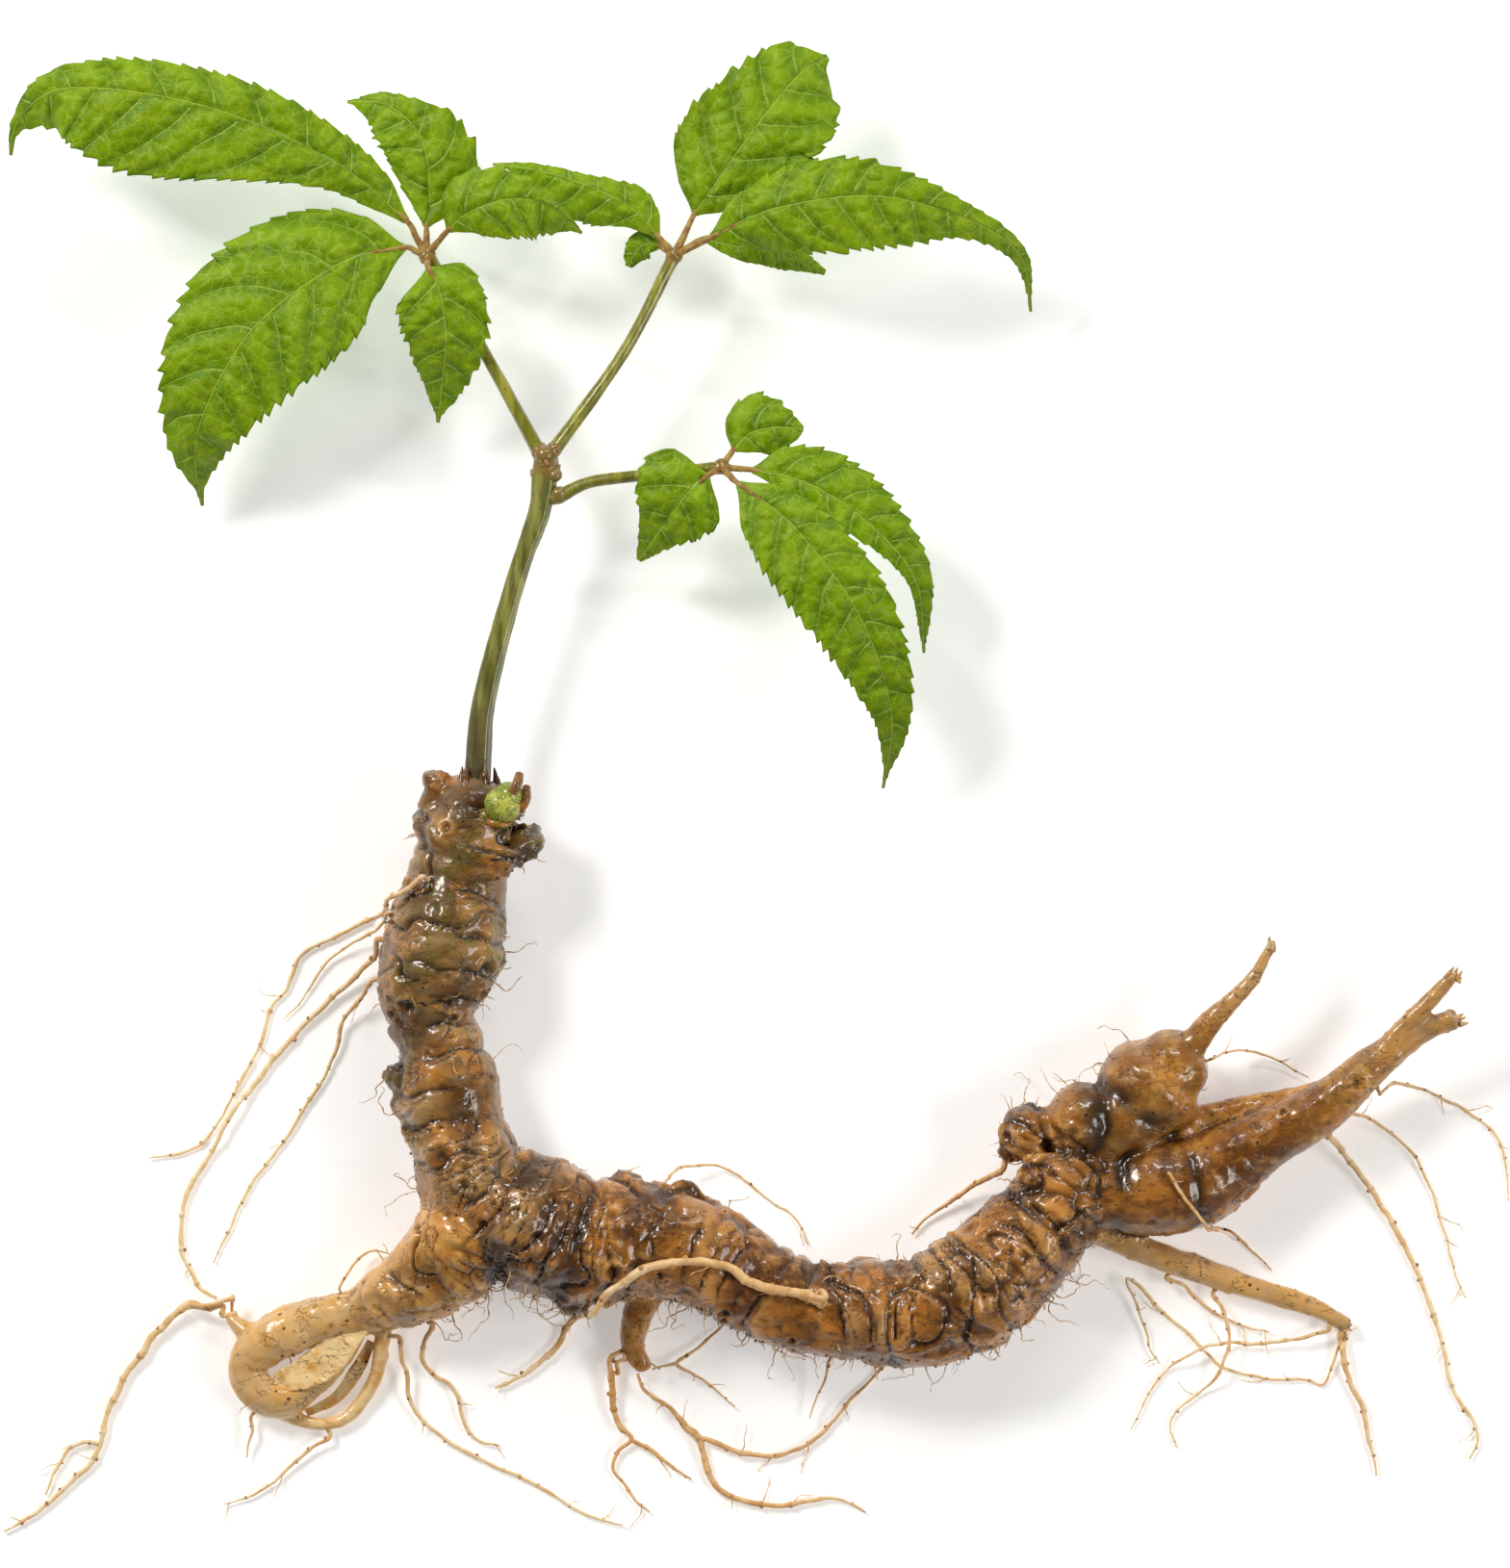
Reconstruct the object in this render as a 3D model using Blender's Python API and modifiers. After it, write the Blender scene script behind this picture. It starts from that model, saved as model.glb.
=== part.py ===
"""A whole ginseng plant, dug up and laid on its back on a table.

The thick ringed rhizome with its branch roots and tubers is one grown solid.
The fine rootlets, the stem, the three leaf stalks and the leaflets are
separate solids that sit a hair's breadth from the piece they grow from.
Units are metres and +Z is up. The plant lies in the XY plane, crown to the
back (+Y) and tubers to the right (+X), and it rests on small flats at Z = 0.
"""
import math

import bmesh
import bpy
from mathutils import Vector
from mathutils.bvhtree import BVHTree

# Driving dimensions, in metres
PLANT_SPAN = 0.314          # rootlet tip to rootlet tip, along X
RHIZOME_GIRTH = 0.025       # thickness of the rhizome at its belly
STEM_DIAMETER = 0.0052      # at the foot of the stem
STEM_LENGTH = 0.0700        # crown to the top node
PETIOLE_DIAMETER = 0.0025
PETIOLE_LENGTH = 0.0470     # of the longest leaf stalk
LEAFLET_LENGTH = 0.0940     # of the largest leaflet, along its midrib
LEAFLET_THICKNESS = 0.0008
STALK_DIAMETER = 0.0014     # of the short stalk that holds each leaflet
HUB_REACH = 0.0032          # the leaflets begin this far from their hub's middle
ROOTLET_DIAMETER = 0.0015   # a typical rootlet near its start
GAP = 0.0003                # between neighbouring pieces
LIE = 0.0003                # rootlets lie this far above the table
REST_CUT = 0.0005           # depth that the resting flats are pressed in
SOCKET_DEPTH = 0.0045       # the stem's foot sits this deep in the crown
LEAD_PASSES = 4             # times that a rootlet's first run is eased off the skin

# Scales that follow from them: nominal millimetres become metres
PLAN = PLANT_SPAN / 314.0
BODY = RHIZOME_GIRTH / 25.0
LEAF = LEAFLET_LENGTH / 94.0
MM = 0.001

# Root limbs, each a run of stations: x, y, height of the axis, radius
NECK = [
    (-59, -6, 13, 9.2), (-61, -16, 12.8, 9.8), (-62.5, -24, 12.5, 11.6), (-64, -32, 12.1, 12.5),
    (-66, -38, 12.1, 12.2), (-67, -42, 12, 11.3), (-67, -47, 12, 9.2), (-65, -52, 12, 8.7),
    (-64.5, -56, 12, 9.8), (-63.5, -62, 12, 10.8), (-62, -69, 12, 10.2), (-59.5, -76, 12.5, 10.8),
    (-56, -83, 13, 12), (-47, -89, 14.1, 14.6),
]
RHIZOME = [
    (-47, -89, 14.1, 14.6), (-37, -92.5, 13.6, 13.9), (-27, -92.5, 13, 12.8),
    (-17, -93.5, 12.5, 11.6), (-9, -96.5, 12, 11), (3, -104, 11.5, 9.8), (13, -107.5, 11.5, 9.2),
    (23, -107.5, 11.5, 11.1), (33, -108, 11.5, 11.3), (43, -104, 11.9, 12.4),
    (52, -97, 11.6, 11.6), (61, -87.5, 12, 10.8), (66, -80, 12, 9.2),
]
LEFT_BRANCH = [
    (-52, -89, 13.5, 12), (-57, -91, 12.5, 12), (-64, -97.5, 10.5, 10), (-71, -103, 8.6, 8.2),
    (-77, -105.5, 7.2, 6.8), (-82.5, -108, 5.6, 5), (-90, -109.5, 5.4, 5), (-97, -112, 5.4, 5.2),
    (-103, -115.5, 5, 4.4), (-105.5, -120.5, 4.6, 4), (-102, -125.5, 4.4, 4),
    (-96, -126, 4, 3.4), (-90, -122, 3.6, 2.8), (-85, -116.5, 3.8, 2.2), (-82.5, -112.5, 4, 1.8),
]
OUTER_LOOP = [
    (-102, -126, 3.6, 2), (-101, -127.5, 2.6, 1.6), (-96, -130, 2.1, 1.5), (-91, -131.5, 2, 1.5),
    (-85.5, -130.5, 2, 1.5), (-81.5, -126.5, 2.1, 1.5), (-78.5, -121, 2.8, 1.6),
    (-77.5, -115.5, 4, 1.7), (-76.5, -108, 5.5, 1.8),
]
LITTLE_ROOT = [(-101, -116, 5, 3.6), (-104.5, -113, 4.6, 2.8), (-108.5, -109.5, 4, 1.4)]
UPPER_BULB = [(71, -73, 12, 7), (77, -66, 12, 9.5), (82.5, -60.5, 11.3, 11.2), (86, -57, 11.6, 8)]
BULB_STALK = [
    (88, -56, 12.5, 4.2), (90, -52.7, 14, 3.2), (94, -47.5, 16, 2.6), (98.5, -43, 17.5, 2),
    (102.5, -38.5, 18.5, 1.6), (106.3, -31.5, 19.5, 1),
]
LOWER_TUBER = [
    (68, -81, 11.5, 7.5), (74, -82.5, 10.8, 8.6), (81, -82, 10, 10.3), (90, -81, 9.6, 10),
    (98, -76.7, 10, 8), (105.5, -72, 11, 6.3), (117, -65.5, 12.5, 5.3), (128, -56, 14, 4),
    (137.5, -49.5, 15, 2.7), (144.7, -47, 15.5, 2.2),
]
UPPER_PRONG = [(128, -56, 14.5, 3), (132, -50.5, 16, 2.2), (140.5, -41.5, 18, 1.8), (144, -37.7, 19, 1.4)]
BACK_ROOT = [
    (88, -70, 9, 4), (93, -67.7, 8, 2.9), (103, -65.5, 7.5, 2.8), (112, -63.5, 8, 2.3),
    (118, -61.5, 9, 2),
]
SIDE_ROOT = [
    (64, -85, 9, 5), (68, -88.5, 7.5, 3.8), (80, -95, 5.5, 3), (91.5, -99, 4.5, 2.8),
    (102.5, -103, 4, 2.5), (114, -106.5, 3.4, 2.2), (122.3, -110.5, 3, 1.8),
]
DOWN_ROOT = [
    (-22, -98, 9, 6), (-22, -103, 7, 3.8), (-24.3, -108.7, 5.2, 3.2), (-25.5, -115, 3.6, 2.4),
    (-23.5, -119, 2.8, 1.9),
]
LIMBS = [
    NECK, RHIZOME, LEFT_BRANCH, OUTER_LOOP, LITTLE_ROOT, UPPER_BULB, BULB_STALK,
    LOWER_TUBER, UPPER_PRONG, BACK_ROOT, SIDE_ROOT, DOWN_ROOT,
]

# Stem scars, buds and knobs that stand out of the limbs: x, y, height, radius
KNOBS = [
    (-65.3, 0.5, 14, 3.4), (-65.5, 2.2, 14.6, 2.6), (-51.5, -3, 16.5, 4.2), (-47.6, -10.5, 14, 3.7),
    (-65, -6, 15, 4.4), (-73.5, -58.5, 13, 3.4), (-72.5, -64.5, 12, 3), (-64.5, -75, 20, 4),
    (-15, -84, 14, 3.8), (-27, -81.5, 13, 3.4), (68, -67.5, 14, 7.8), (71.5, -58.5, 12.5, 6),
    (56.5, -70.5, 12.5, 6.2),
    (52.5, -74, 12, 3), (-38, -104.5, 14, 4), (14, -99.5, 13, 2.8), (60, -80, 15, 6),
]

# Main stem: x, y, rise above the crown's middle, radius as a share of the foot
STEM = [
    (-57.5, -1, 0, 1.15), (-57.3, 4, 0.4, 1.06), (-56.2, 17, 1.2, 0.95), (-52.3, 33, 2.2, 0.82),
    (-48.3, 46.5, 2.8, 0.80), (-44.6, 57, 3.2, 0.88), (-43.4, 64, 3.5, 1.0), (-43, 68.5, 3.7, 0.95),
]
CROWN_HEIGHT = 13.6

# Leaf stalks: offset of the start from the top node, then the run to the hub
PETIOLES = {
    "petiole_left": [(-1.5, 1.2, 0.2), (-12, 20.5, 0.8), (-24.5, 41.5, 2.5)],
    "petiole_middle": [(1.4, 0.6, 0.4), (16, 21.5, 1.8), (26.5, 41.5, 3)],
    "petiole_right": [(2.4, -8.0, 0.2), (9, -5, 0.6), (20, -3.6, 1.6), (36, -2, 3)],
}

# Leaflets: leaf stalk, start of the blade and the rest of the midrib from its
# hub, side to side half widths at nine stations, and how far the sides droop
STATIONS = (0.0, 0.08, 0.2, 0.35, 0.5, 0.65, 0.8, 0.92, 1.0)
LEAFLETS = {
    "leaflet_left_long": (
        "petiole_left",
        [(-4, 7, 2), (-19, 19, 8), (-45, 30, 11), (-73, 34, 7), (-84, 28, -1), (-86, 21, -6)],
        (0.8, 3.4, 6.5, 12, 16, 16, 10, 3.5, 0.7), (0.8, 4, 6, 7.4, 7.3, 6.6, 4, 1.8, 0.7), -0.15, -0.25),
    "leaflet_left_broad": (
        "petiole_left",
        [(-4.4, 1.6, 1.6), (-18, -2, 5.4), (-36, -16, 7), (-47, -36, 1), (-47, -51, -14)],
        (0.8, 8, 14, 16, 14.6, 11, 6.5, 2.6, 0.7), (0.8, 7.5, 14, 16.4, 15.2, 11, 5.6, 2.2, 0.7), -0.1, -0.2),
    "leaflet_left_lower": (
        "petiole_left",
        [(0.5, -2.8, 4.1), (3, -8, 6.4), (4, -18, 4), (2, -34, -8)],
        (0.8, 6.8, 8.8, 9, 7.8, 6, 3.6, 1.8, 0.7), (0.8, 7.5, 9.4, 9, 7.6, 5.4, 3, 1.6, 0.7), -0.2, -0.2),
    "leaflet_left_back": (
        "petiole_left",
        [(0, 6, 0), (0.5, 13, 1), (-1, 24, 2), (-8, 31, 1), (-16.5, 32, -4)],
        (0.8, 3, 5.5, 7.8, 8.4, 7.6, 5.5, 3, 0.7), (0.8, 5, 9, 10.5, 8, 4, 2, 1, 0.6), -0.2, -0.15),
    "leaflet_left_front": (
        "petiole_left",
        [(4.5, 5, 3.5), (9, 8.5, 8), (17, 11, 10), (25, 10, 8), (32, 4.5, 2)],
        (0.8, 4.5, 7.6, 7.5, 5.5, 3, 1.6, 1, 0.6), (0.8, 2.8, 5.5, 7.5, 7.8, 7.6, 5.5, 2.5, 0.7),
        -0.2, -0.15),
    "leaflet_middle_left": (
        "petiole_middle",
        [(-3.5, 4, 0.5), (-8, 9, 2), (-17, 14, 2), (-28, 17.5, 0), (-37.5, 19, -3)],
        (0.8, 2.5, 4.5, 7.2, 7.2, 4.2, 2.6, 1.2, 0.6), (0.8, 3, 4.8, 3.4, 2, 1.6, 1.2, 0.9, 0.6), -0.5, -0.6),
    "leaflet_middle_small": (
        "petiole_middle",
        [(-3, 2, -2), (-5.5, 2.8, -2), (-8, 1.2, -3.5), (-9.6, -2, -5.5)],
        (0.8, 1.7, 2.6, 3.1, 3, 2.6, 1.9, 1.2, 0.7), (0.8, 1.7, 2.6, 3, 2.8, 2.3, 1.7, 1.1, 0.7), -0.2, -0.2),
    "leaflet_middle_top": (
        "petiole_middle",
        [(4, 8.5, 0), (10, 17, 3), (18, 28, 4), (26, 37.5, 2), (31.5, 41, -2)],
        (0.8, 6.5, 11.5, 13.4, 12, 10.5, 8.6, 5, 1.2), (0.8, 4.5, 8, 11, 13, 13.4, 12, 8, 1.5), -0.2, -0.12),
    "leaflet_middle_long": (
        "petiole_middle",
        [(7.5, 3.5, 3), (20, 9, 9), (41, 11.5, 12), (60, 7, 7), (71, 0, 0), (73.5, -11, -10)],
        (0.8, 4.5, 7.5, 8, 5.4, 3, 1.8, 1, 0.6), (0.8, 6, 9.8, 11, 9.3, 4.2, 2.2, 1.2, 0.6), -0.2, -0.25),
    "leaflet_middle_low": (
        "petiole_middle",
        [(6, 3.6, -2.7), (12, 2.2, -3.3), (20, 1, -5), (31, -3, -9)],
        (0.7, 1.6, 2.8, 3.4, 3.4, 3.1, 2.3, 1.3, 0.6), (0.7, 1.2, 2.2, 3, 3.1, 2.8, 1.8, 1, 0.6), -0.3, -0.3),
    "leaflet_right_near": (
        "petiole_right",
        [(-2.6, -1.8, 3.5), (-6.5, -5, 4.3), (-11.5, -11.5, 1), (-17, -19, -7)],
        (0.8, 6.5, 8.8, 8.4, 6.6, 4.4, 2.6, 1.5, 0.6), (0.8, 8.5, 11, 10, 7.6, 4.8, 2.8, 1.5, 0.6),
        -0.3, -0.1),
    "leaflet_right_top": (
        "petiole_right",
        [(2.6, 3.6, -1), (6, 7, 0), (11, 8.3, 0), (17, 8, -2)],
        (0.8, 3.2, 5.6, 7.2, 7.2, 5.4, 3.4, 1.8, 0.6), (0.8, 2.6, 4.4, 5.2, 5.6, 5.2, 4, 2.6, 0.7),
        -0.15, -0.2),
    "leaflet_right_long": (
        "petiole_right",
        [(6.5, -0.6, 1), (17, -3, 4), (29, -10.5, 5), (40, -23, 0), (42, -38, -14)],
        (0.8, 5.5, 8, 8, 6.2, 4, 2, 1.2, 0.6), (0.8, 2.6, 4.6, 4.8, 3.2, 2, 1.4, 1, 0.6), -0.2, -0.15),
    "leaflet_right_longest": (
        "petiole_right",
        [(3.5, -3.5, 4.5), (15, -12.5, 10), (28, -30, 10), (35, -50, 2), (33.5, -66, -13)],
        (0.8, 4, 6.6, 7.8, 7.2, 5.6, 3.2, 1.5, 0.6), (0.8, 7.5, 10.6, 11, 9.4, 6.4, 3, 1.4, 0.6),
        -0.2, -0.15),
}

# Rootlets: start height, radius at start and end as shares of the typical one,
# lies over the body or beside it, the route seen from above, and any forks
ROOTLETS = {
    "rootlet_neck_front": (21, 0.9, 0.55, True, [
        (-68, -18), (-77.5, -25.5), (-90, -31.5), (-94.5, -34), (-97.5, -41.5), (-100.5, -45),
        (-103, -53), (-106.5, -59.5), (-111.5, -69), (-117, -74.5), (-126, -76)], []),
    "rootlet_neck_short": (12, 0.7, 0.45, False, [
        (-74.5, -26), (-80, -29.8), (-87.5, -34.3), (-93.5, -42), (-98, -47.5)], []),
    "rootlet_neck_long": (10, 1.1, 0.9, False, [
        (-76, -31), (-81.5, -37), (-87.5, -42.5), (-93, -48), (-97.5, -53), (-103.5, -60),
        (-110, -69), (-113.5, -76.5), (-117, -81.5), (-119, -88), (-119, -96), (-117, -100.5),
        (-114.5, -104), (-112, -105.5)], []),
    "rootlet_neck_low": (9, 0.9, 0.5, False, [
        (-78, -39), (-82.5, -43.5), (-85.5, -48), (-87.5, -54.5), (-91.5, -62.5), (-96.5, -71),
        (-103.5, -80.5), (-107.5, -87), (-110, -93), (-112.5, -98)], []),
    "rootlet_branch_long": (3.8, 1.7, 0.75, False, [
        (-110, -108), (-114, -105.8), (-118, -107), (-121.5, -109.5), (-126.5, -115.5), (-130.5, -121.5),
        (-134.5, -129.5), (-136.5, -137.5), (-141.5, -143), (-147, -148), (-153, -152.5), (-156, -154)],
        [(0.62, [(-141.5, -135.5), (-145.5, -141.5), (-147.5, -146)])]),
    "rootlet_loop_short": (2, 0.7, 0.5, False, [
        (-104.5, -129.8), (-104, -132), (-105, -135), (-105.5, -138.5)], []),
    "rootlet_loop_tail": (2, 0.8, 0.45, False, [
        (-88.5, -133), (-90.5, -135), (-94.5, -138.5), (-102, -145), (-110.5, -148.5)], []),
    "rootlet_branch_down": (6, 0.9, 0.6, False, [
        (-74.5, -113.5), (-72.5, -121.5), (-71, -127.5), (-67.5, -132), (-60.5, -137), (-51, -141.5),
        (-40.5, -147), (-36, -150), (-27, -152.5)], []),
    "rootlet_junction_left": (5, 1.0, 0.6, False, [
        (-67, -111), (-69, -117), (-67, -121), (-62.5, -124), (-61, -130), (-58, -134.5), (-53, -136)], []),
    "rootlet_arch": (6, 0.6, 0.5, False, [(-86, -103), (-83.5, -98.5), (-80, -95.5), (-76, -96)], []),
    "rootlet_over_rhizome": (22, 1.9, 1.0, True, [
        (13.5, -104), (5.5, -102.5), (-1, -101), (-6.5, -97.5), (-14, -96.5), (-21, -97.5),
        (-25.5, -99.5), (-30, -102.5), (-35.5, -106.5), (-39.5, -112), (-43, -117.5),
        (-49, -122), (-54, -124)],
        [(0.80, [(-35, -119.5), (-31.5, -121.5)])]),
    "rootlet_down_left": (3, 1.5, 0.6, False, [
        (-28, -117.5), (-29.5, -123.5), (-29, -129.5), (-26, -134), (-21, -137.5), (-16.5, -141),
        (-13, -143)],
        [(0.55, [(-29.5, -139.5), (-26, -146), (-22, -150)])]),
    "rootlet_down_right": (2.6, 1.6, 0.6, False, [
        (-22.5, -122), (-19.5, -127), (-15, -132), (-11.5, -135.5), (-10, -140), (-8.5, -144), (-5, -146.5),
        (1, -148), (8, -148), (16.5, -147), (23, -150)],
        [(0.28, [(-7, -136), (-1.5, -138), (5, -138), (12, -135.5), (16, -131.5), (19.5, -127),
                 (23, -123), (30, -117)])]),
    "rootlet_down_back": (4, 0.8, 0.5, False, [
        (-20.5, -119), (-17.5, -119), (-13.5, -117), (-9.5, -113.5), (-7, -111.5)],
        [(0.35, [(-12, -121.5), (-8, -124.5), (-4, -128)])]),
    "rootlet_belly_small": (3, 0.6, 0.4, False, [
        (15.5, -118.5), (14.5, -122.5), (12.5, -127), (11.5, -130)], []),
    "rootlet_top_arch": (14, 0.6, 0.4, False, [
        (-18.5, -80), (-15.5, -78), (-7.5, -77.5), (-2.5, -81), (3, -85), (8, -88.5), (11, -94)], []),
    "rootlet_knob_long": (8, 1.2, 0.6, False, [
        (51.5, -78), (47.5, -80.5), (42.5, -83.5), (36, -88), (32.5, -92)], []),
    "rootlet_side_end": (2.4, 1.3, 0.7, False, [
        (122, -112.5), (122, -117.5), (123.5, -123.5), (125.5, -128.5), (127.5, -134), (129, -142)],
        [(0.42, [(127.5, -128), (131, -133), (133.5, -138)])]),
    "rootlet_tuber_front": (19, 0.7, 0.5, True, [
        (85, -79), (87.5, -82.5), (91.5, -87), (97, -90), (102.5, -95), (107.5, -99.5)], []),
    "rootlet_side_long": (5, 0.8, 0.5, False, [
        (73.5, -96), (78, -101), (82.5, -106), (87.5, -110.5), (91.5, -114.5), (95, -118.5), (102, -121.5),
        (111, -122.5), (119, -122)],
        [(0.16, [(80.5, -110), (81.5, -115.5), (84, -119)])]),
    "rootlet_side_middle": (3, 0.8, 0.5, False, [
        (86, -100), (90, -103.5), (94.5, -108), (100, -110.5), (107, -112.5)], []),
    "rootlet_side_curl": (3, 0.8, 0.45, False, [
        (118.5, -112.5), (111, -113.8), (104, -114.8), (97, -114.8), (90.5, -116.5), (84.5, -121),
        (81.5, -126), (78, -132.5)], []),
    "rootlet_side_drop": (3, 0.8, 0.5, False, [
        (95.5, -103.5), (97.5, -109), (98.5, -113.5), (97.5, -117), (95.5, -122), (92, -126), (88, -128.5),
        (86.5, -132.5), (87.5, -136.5)], []),
    "rootlet_tip": (13, 0.7, 0.45, False, [
        (128.5, -61.5), (133, -60.5), (142, -63.5), (148, -66.5), (153, -71), (155.5, -76),
        (156.3, -85)], []),
    "rootlet_tuber_right": (9, 0.7, 0.45, False, [
        (123, -66.5), (127.5, -67.5), (131.5, -71), (135.5, -74), (139.5, -81), (142, -88), (144, -93),
        (145, -99), (147.5, -105)], []),
    "rootlet_tuber_long": (7, 1.2, 0.7, False, [
        (118, -71), (123, -76), (127, -81), (131, -87.5), (134.5, -93.5), (138.5, -102), (142, -112.5),
        (145.5, -125), (150, -133), (148.5, -138.5)], []),
    "rootlet_back": (12, 0.5, 0.4, False, [
        (94.5, -55.5), (99, -54), (106, -54.8), (110, -56.8), (115, -59.3)], []),
}

SKIN_COLOURS = {
    "root": (0.16, 0.075, 0.022, 1), "rootlet": (0.62, 0.40, 0.17, 1), "stem": (0.13, 0.14, 0.03, 1),
    "petiole": (0.17, 0.19, 0.03, 1), "leaflet": (0.10, 0.27, 0.015, 1),
}


def start_scene():
    for obj in list(bpy.data.objects):
        bpy.data.objects.remove(obj, do_unlink=True)
    parts = bpy.data.collections.new("ginseng_root")
    helpers = bpy.data.collections.new("cutters")
    bpy.context.scene.collection.children.link(parts)
    bpy.context.scene.collection.children.link(helpers)
    return parts, helpers


PARTS, HELPERS = start_scene()


def skin(name, colour, roughness):
    material = bpy.data.materials.new(name)
    material.use_nodes = True
    shader = material.node_tree.nodes["Principled BSDF"]
    shader.inputs["Base Color"].default_value = colour
    shader.inputs["Roughness"].default_value = roughness
    material.diffuse_color = colour
    return material


MATERIALS = {
    "root": skin("root_bark", SKIN_COLOURS["root"], 0.45),
    "rootlet": skin("rootlet_skin", SKIN_COLOURS["rootlet"], 0.55),
    "stem": skin("stem_skin", SKIN_COLOURS["stem"], 0.4),
    "petiole": skin("petiole_skin", SKIN_COLOURS["petiole"], 0.4),
    "leaflet": skin("leaf_blade", SKIN_COLOURS["leaflet"], 0.5),
}


def place(name, mesh, material):
    obj = bpy.data.objects.new(name, mesh)
    obj.data.materials.append(MATERIALS[material])
    PARTS.objects.link(obj)
    return obj


def helper(name, mesh):
    obj = bpy.data.objects.new(name, mesh)
    HELPERS.objects.link(obj)
    obj.hide_render = True
    obj.display_type = "WIRE"
    return obj


def catmull(points, t):
    """A point of the smooth curve through the route's own points, t in 0..1."""
    n = len(points) - 1
    k = min(int(t * n), n - 1)
    u = t * n - k
    a, b, c, d = (points[min(max(k + i, 0), n)] for i in (-1, 0, 1, 2))
    return 0.5 * (2 * b + (c - a) * u + (2 * a - 5 * b + 4 * c - d) * u * u
                  + (3 * b - a - 3 * c + d) * u * u * u)


def even_points(points, spacing):
    """Points read off the smooth curve about one spacing apart."""
    dense = [catmull(points, i / 400) for i in range(401)]
    run = [0.0]
    for a, b in zip(dense, dense[1:]):
        run.append(run[-1] + (b.to_3d() - a.to_3d()).length)
    count = max(3, round(run[-1] / spacing))
    found, k = [], 0
    for i in range(count + 1):
        want = run[-1] * i / count
        while k < 399 and run[k + 1] < want:
            k += 1
        share = (want - run[k]) / max(run[k + 1] - run[k], 1e-12)
        found.append(dense[k].lerp(dense[k + 1], min(max(share, 0), 1)))
    return found


def tube_mesh(name, points, radii, resolution):
    """A closed tube along the points: a bevelled POLY curve made a mesh."""
    curve = bpy.data.curves.new(name + "_path", "CURVE")
    curve.dimensions = "3D"
    curve.bevel_depth = MM
    curve.bevel_resolution = resolution
    curve.use_fill_caps = True
    spline = curve.splines.new("POLY")
    spline.points.add(len(points) - 1)
    for slot, point, radius in zip(spline.points, points, radii):
        slot.co = (*point, 1.0)
        slot.radius = radius / MM
    path = bpy.data.objects.new(name + "_path", curve)
    HELPERS.objects.link(path)
    mesh = bpy.data.meshes.new_from_object(path)
    mesh.name = name
    bpy.data.objects.remove(path, do_unlink=True)
    merge_seams(mesh)
    return mesh


def merge_seams(mesh):
    work = bmesh.new()
    work.from_mesh(mesh)
    bmesh.ops.remove_doubles(work, verts=work.verts, dist=1e-6)
    bmesh.ops.recalc_face_normals(work, faces=work.faces)
    work.to_mesh(mesh)
    work.free()


def ball_into(work, centre, radius):
    made = bmesh.ops.create_icosphere(work, subdivisions=3, radius=radius)
    bmesh.ops.translate(work, verts=made["verts"], vec=centre)


def limb_points(limb):
    """Evenly spaced centres of a limb with its radii, gently swollen into rings."""
    route = [Vector((x * PLAN, y * PLAN, z * BODY, r * BODY)) for x, y, z, r in limb]
    dense = [catmull(route, i / 300) for i in range(301)]
    run, picked = 0.0, [dense[0]]
    for a, b in zip(dense, dense[1:]):
        run += (b.to_3d() - a.to_3d()).length
        if run >= 1.6 * MM:
            picked.append(b)
            run = 0.0
    rings = 0.045 if limb in (NECK, RHIZOME) else 0.02
    radii = [p.w * (1 + rings * math.sin(i * 1.6 * math.tau / 7.0)) for i, p in enumerate(picked)]
    return [p.to_3d() for p in picked], radii


def add_modifier(obj, kind, name, **settings):
    modifier = obj.modifiers.new(name, kind)
    for key, value in settings.items():
        setattr(modifier, key, value)
    return modifier


def boolean(obj, other, operation):
    return add_modifier(obj, "BOOLEAN", operation.lower() + "_" + other.name,
                        object=other, operation=operation, solver="EXACT")


def cylinder_along(name, start, end, radius, sides=24):
    """A cutter: a straight capped tube from start to end."""
    mesh = tube_mesh(name, [start, start.lerp(end, 0.5), end], [radius] * 3, 6)
    return helper(name, mesh)


def stem_axis():
    foot = Vector((STEM[0][0] * PLAN, STEM[0][1] * PLAN, 0.0))
    stretch = STEM_LENGTH / 0.0700
    route = []
    for x, y, rise, _ in STEM:
        flat = Vector((x * PLAN, y * PLAN, 0.0))
        point = foot + (flat - foot) * (stretch if y > 4 else 1.0)
        point.z = CROWN_HEIGHT * BODY + rise * MM
        route.append(point)
    return route


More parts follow.
